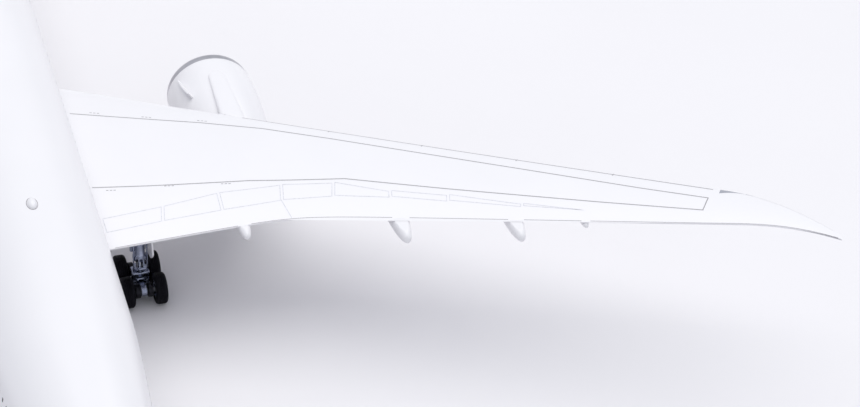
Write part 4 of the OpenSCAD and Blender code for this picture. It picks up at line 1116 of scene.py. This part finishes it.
class AIRLINER_OT_aerials(Operator):
    """Shape the crown beacon and the belly blade, and paint a thin ring of shade round the beacon's foot"""
    bl_idname = "airliner.aerials"
    bl_label = "Aerials"

    def execute(self, context):
        s = PROPS["shape"]
        blade_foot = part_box("antennas")[0].z / MM
        top, bottom = s.fus_z + s.fus_r, s.fus_z - s.fus_r
        half_x, half_y, shade_ring_half_y, beacon_y, height = 0.95, 1.7, 1.62, -21.6, 1.0

        def dome(u, v):
            a = 2 * math.pi * u
            r = math.sin(math.pi / 2 * v)
            z = top - 0.15 + height * math.cos(math.pi / 2 * v)
            return half_x * r * math.cos(a), beacon_y + half_y * r * math.sin(a), z
        beacon = close_ends(patch(40, 14, dome))
        bmesh.ops.recalc_face_normals(beacon, faces=beacon.faces)

        def blade(u, v):
            y, t = foil_ring(u, 84.2 - 1.2 * v, 4 - 1.6 * v, 0.09, 0, 0.05)
            return t, y, bottom + 0.3 + (blade_foot - bottom - 0.2) * v
        fin = close_ends(patch(24, 8, blade))
        bmesh.ops.recalc_face_normals(fin, faces=fin.faces)
        piece("beacon_and_blade", joined([beacon, fin]), FINISHES["paint"], nodes=("antennas",))

        # Thin dark ring round the beacon's foot, in the line finish: painted shade of the dome on the crown.
        def shade_ring(u, v):
            a = 2 * math.pi * u
            grow = 1.06 + 0.13 * v
            x, y = half_x * grow * math.cos(a), beacon_y + shade_ring_half_y * grow * math.sin(a)
            return x, y, s.fus_z + math.sqrt(s.fus_r ** 2 - x * x) + 0.015
        ring = patch(48, 1, shade_ring)
        bmesh.ops.recalc_face_normals(ring, faces=ring.faces)
        piece("beacon_painted_shade_ring", ring, FINISHES["line"])
        return {"FINISHED"}


class AIRLINER_OT_stage(Operator):
    """Lay the pale floor and set the lights and the camera"""
    bl_idname = "airliner.stage"
    bl_label = "Stage"

    def execute(self, context):
        scene = context.scene
        scene.view_settings.view_transform = "Standard"
        bm = bmesh.new()
        bmesh.ops.create_grid(bm, x_segments=8, y_segments=8, size=4)
        mesh = bpy.data.meshes.new("floor")
        bm.to_mesh(mesh)
        bm.free()
        mesh.materials.append(card("pale_card", (0.85, 0.836, 0.852)))
        floor = bpy.data.objects.new("floor", mesh)
        scene.collection.objects.link(floor)
        world = scene.world or bpy.data.worlds.new("studio")
        scene.world = world
        world.use_nodes = True
        sky = world.node_tree.nodes["Background"]
        sky.inputs["Color"].default_value = (0.885, 0.92, 1.0, 1)
        sky.inputs["Strength"].default_value = 0.69
        self.lamp(scene, "soft_box_above", (0.1, 0.16, 1.15), (0.05, 0, 0), 1.2, 7.8)
        self.lamp(scene, "soft_box_front", (0.9, 0.7, 1.0), (0.05, 0, 0), 0.8, 1.6)
        self.camera(scene)
        return {"FINISHED"}

    def lamp(self, scene, name, place, target, size, power):
        data = bpy.data.lights.new(name, "AREA")
        data.size = size
        data.energy = power
        data.color = (1.0, 0.985, 0.96)
        lamp = bpy.data.objects.new(name, data)
        lamp.location = place
        lamp.rotation_euler = (Vector(target) - Vector(place)).to_track_quat("-Z", "Y").to_euler()
        scene.collection.objects.link(lamp)

    def camera(self, scene):
        yaw, pitch, roll = (math.radians(a) for a in (17.38, 37.89, 2.68))
        ahead = Vector((math.sin(yaw) * math.cos(pitch), math.cos(yaw) * math.cos(pitch), -math.sin(pitch)))
        right = Vector((math.cos(yaw), -math.sin(yaw), 0))
        up = right.cross(ahead)
        right, up = right * math.cos(roll) + up * math.sin(roll), up * math.cos(roll) - right * math.sin(roll)
        data = bpy.data.cameras.new("camera")
        data.sensor_width = 36
        data.lens = 133.4
        data.clip_start, data.clip_end = 0.01, 50
        camera = bpy.data.objects.new("camera", data)
        turn = Matrix((right, up, -ahead)).transposed()
        camera.matrix_world = Matrix.Translation((-0.07065, -0.5025, 0.42045)) @ turn.to_4x4()
        scene.collection.objects.link(camera)
        scene.camera = camera


class AIRLINER_PT_panel(Panel):
    """Lists the airliner's build steps as buttons"""
    bl_label = "Desktop Airliner"
    bl_idname = "AIRLINER_PT_panel"
    bl_space_type = "VIEW_3D"
    bl_region_type = "UI"
    bl_category = "Airliner"

    def draw(self, context):
        for op in OPERATORS:
            self.layout.operator(op.bl_idname)


OPERATORS = (AIRLINER_OT_finishes, AIRLINER_OT_fuselage, AIRLINER_OT_belly, AIRLINER_OT_wings,
             AIRLINER_OT_wing_printing, AIRLINER_OT_tail, AIRLINER_OT_engines, AIRLINER_OT_wheels,
             AIRLINER_OT_main_gear, AIRLINER_OT_nose_gear, AIRLINER_OT_cabin_printing, AIRLINER_OT_aerials,
             AIRLINER_OT_stage)
CLASSES = (AirlinerShape, AirlinerGear, AirlinerFinish, *OPERATORS, AIRLINER_PT_panel)


def register():
    for cls in CLASSES:
        bpy.utils.register_class(cls)
    bpy.types.Scene.airliner_shape = PointerProperty(type=AirlinerShape)
    bpy.types.Scene.airliner_gear = PointerProperty(type=AirlinerGear)
    bpy.types.Scene.airliner_finish = PointerProperty(type=AirlinerFinish)


def unregister():
    del bpy.types.Scene.airliner_finish
    del bpy.types.Scene.airliner_gear
    del bpy.types.Scene.airliner_shape
    for cls in reversed(CLASSES):
        bpy.utils.unregister_class(cls)


def main():
    register()
    scene = bpy.context.scene
    PROPS.update(shape=scene.airliner_shape, gear=scene.airliner_gear, finish=scene.airliner_finish)
    for op in OPERATORS:
        family, action = op.bl_idname.split(".")
        getattr(getattr(bpy.ops, family), action)()


if __name__ == "__main__":
    main()
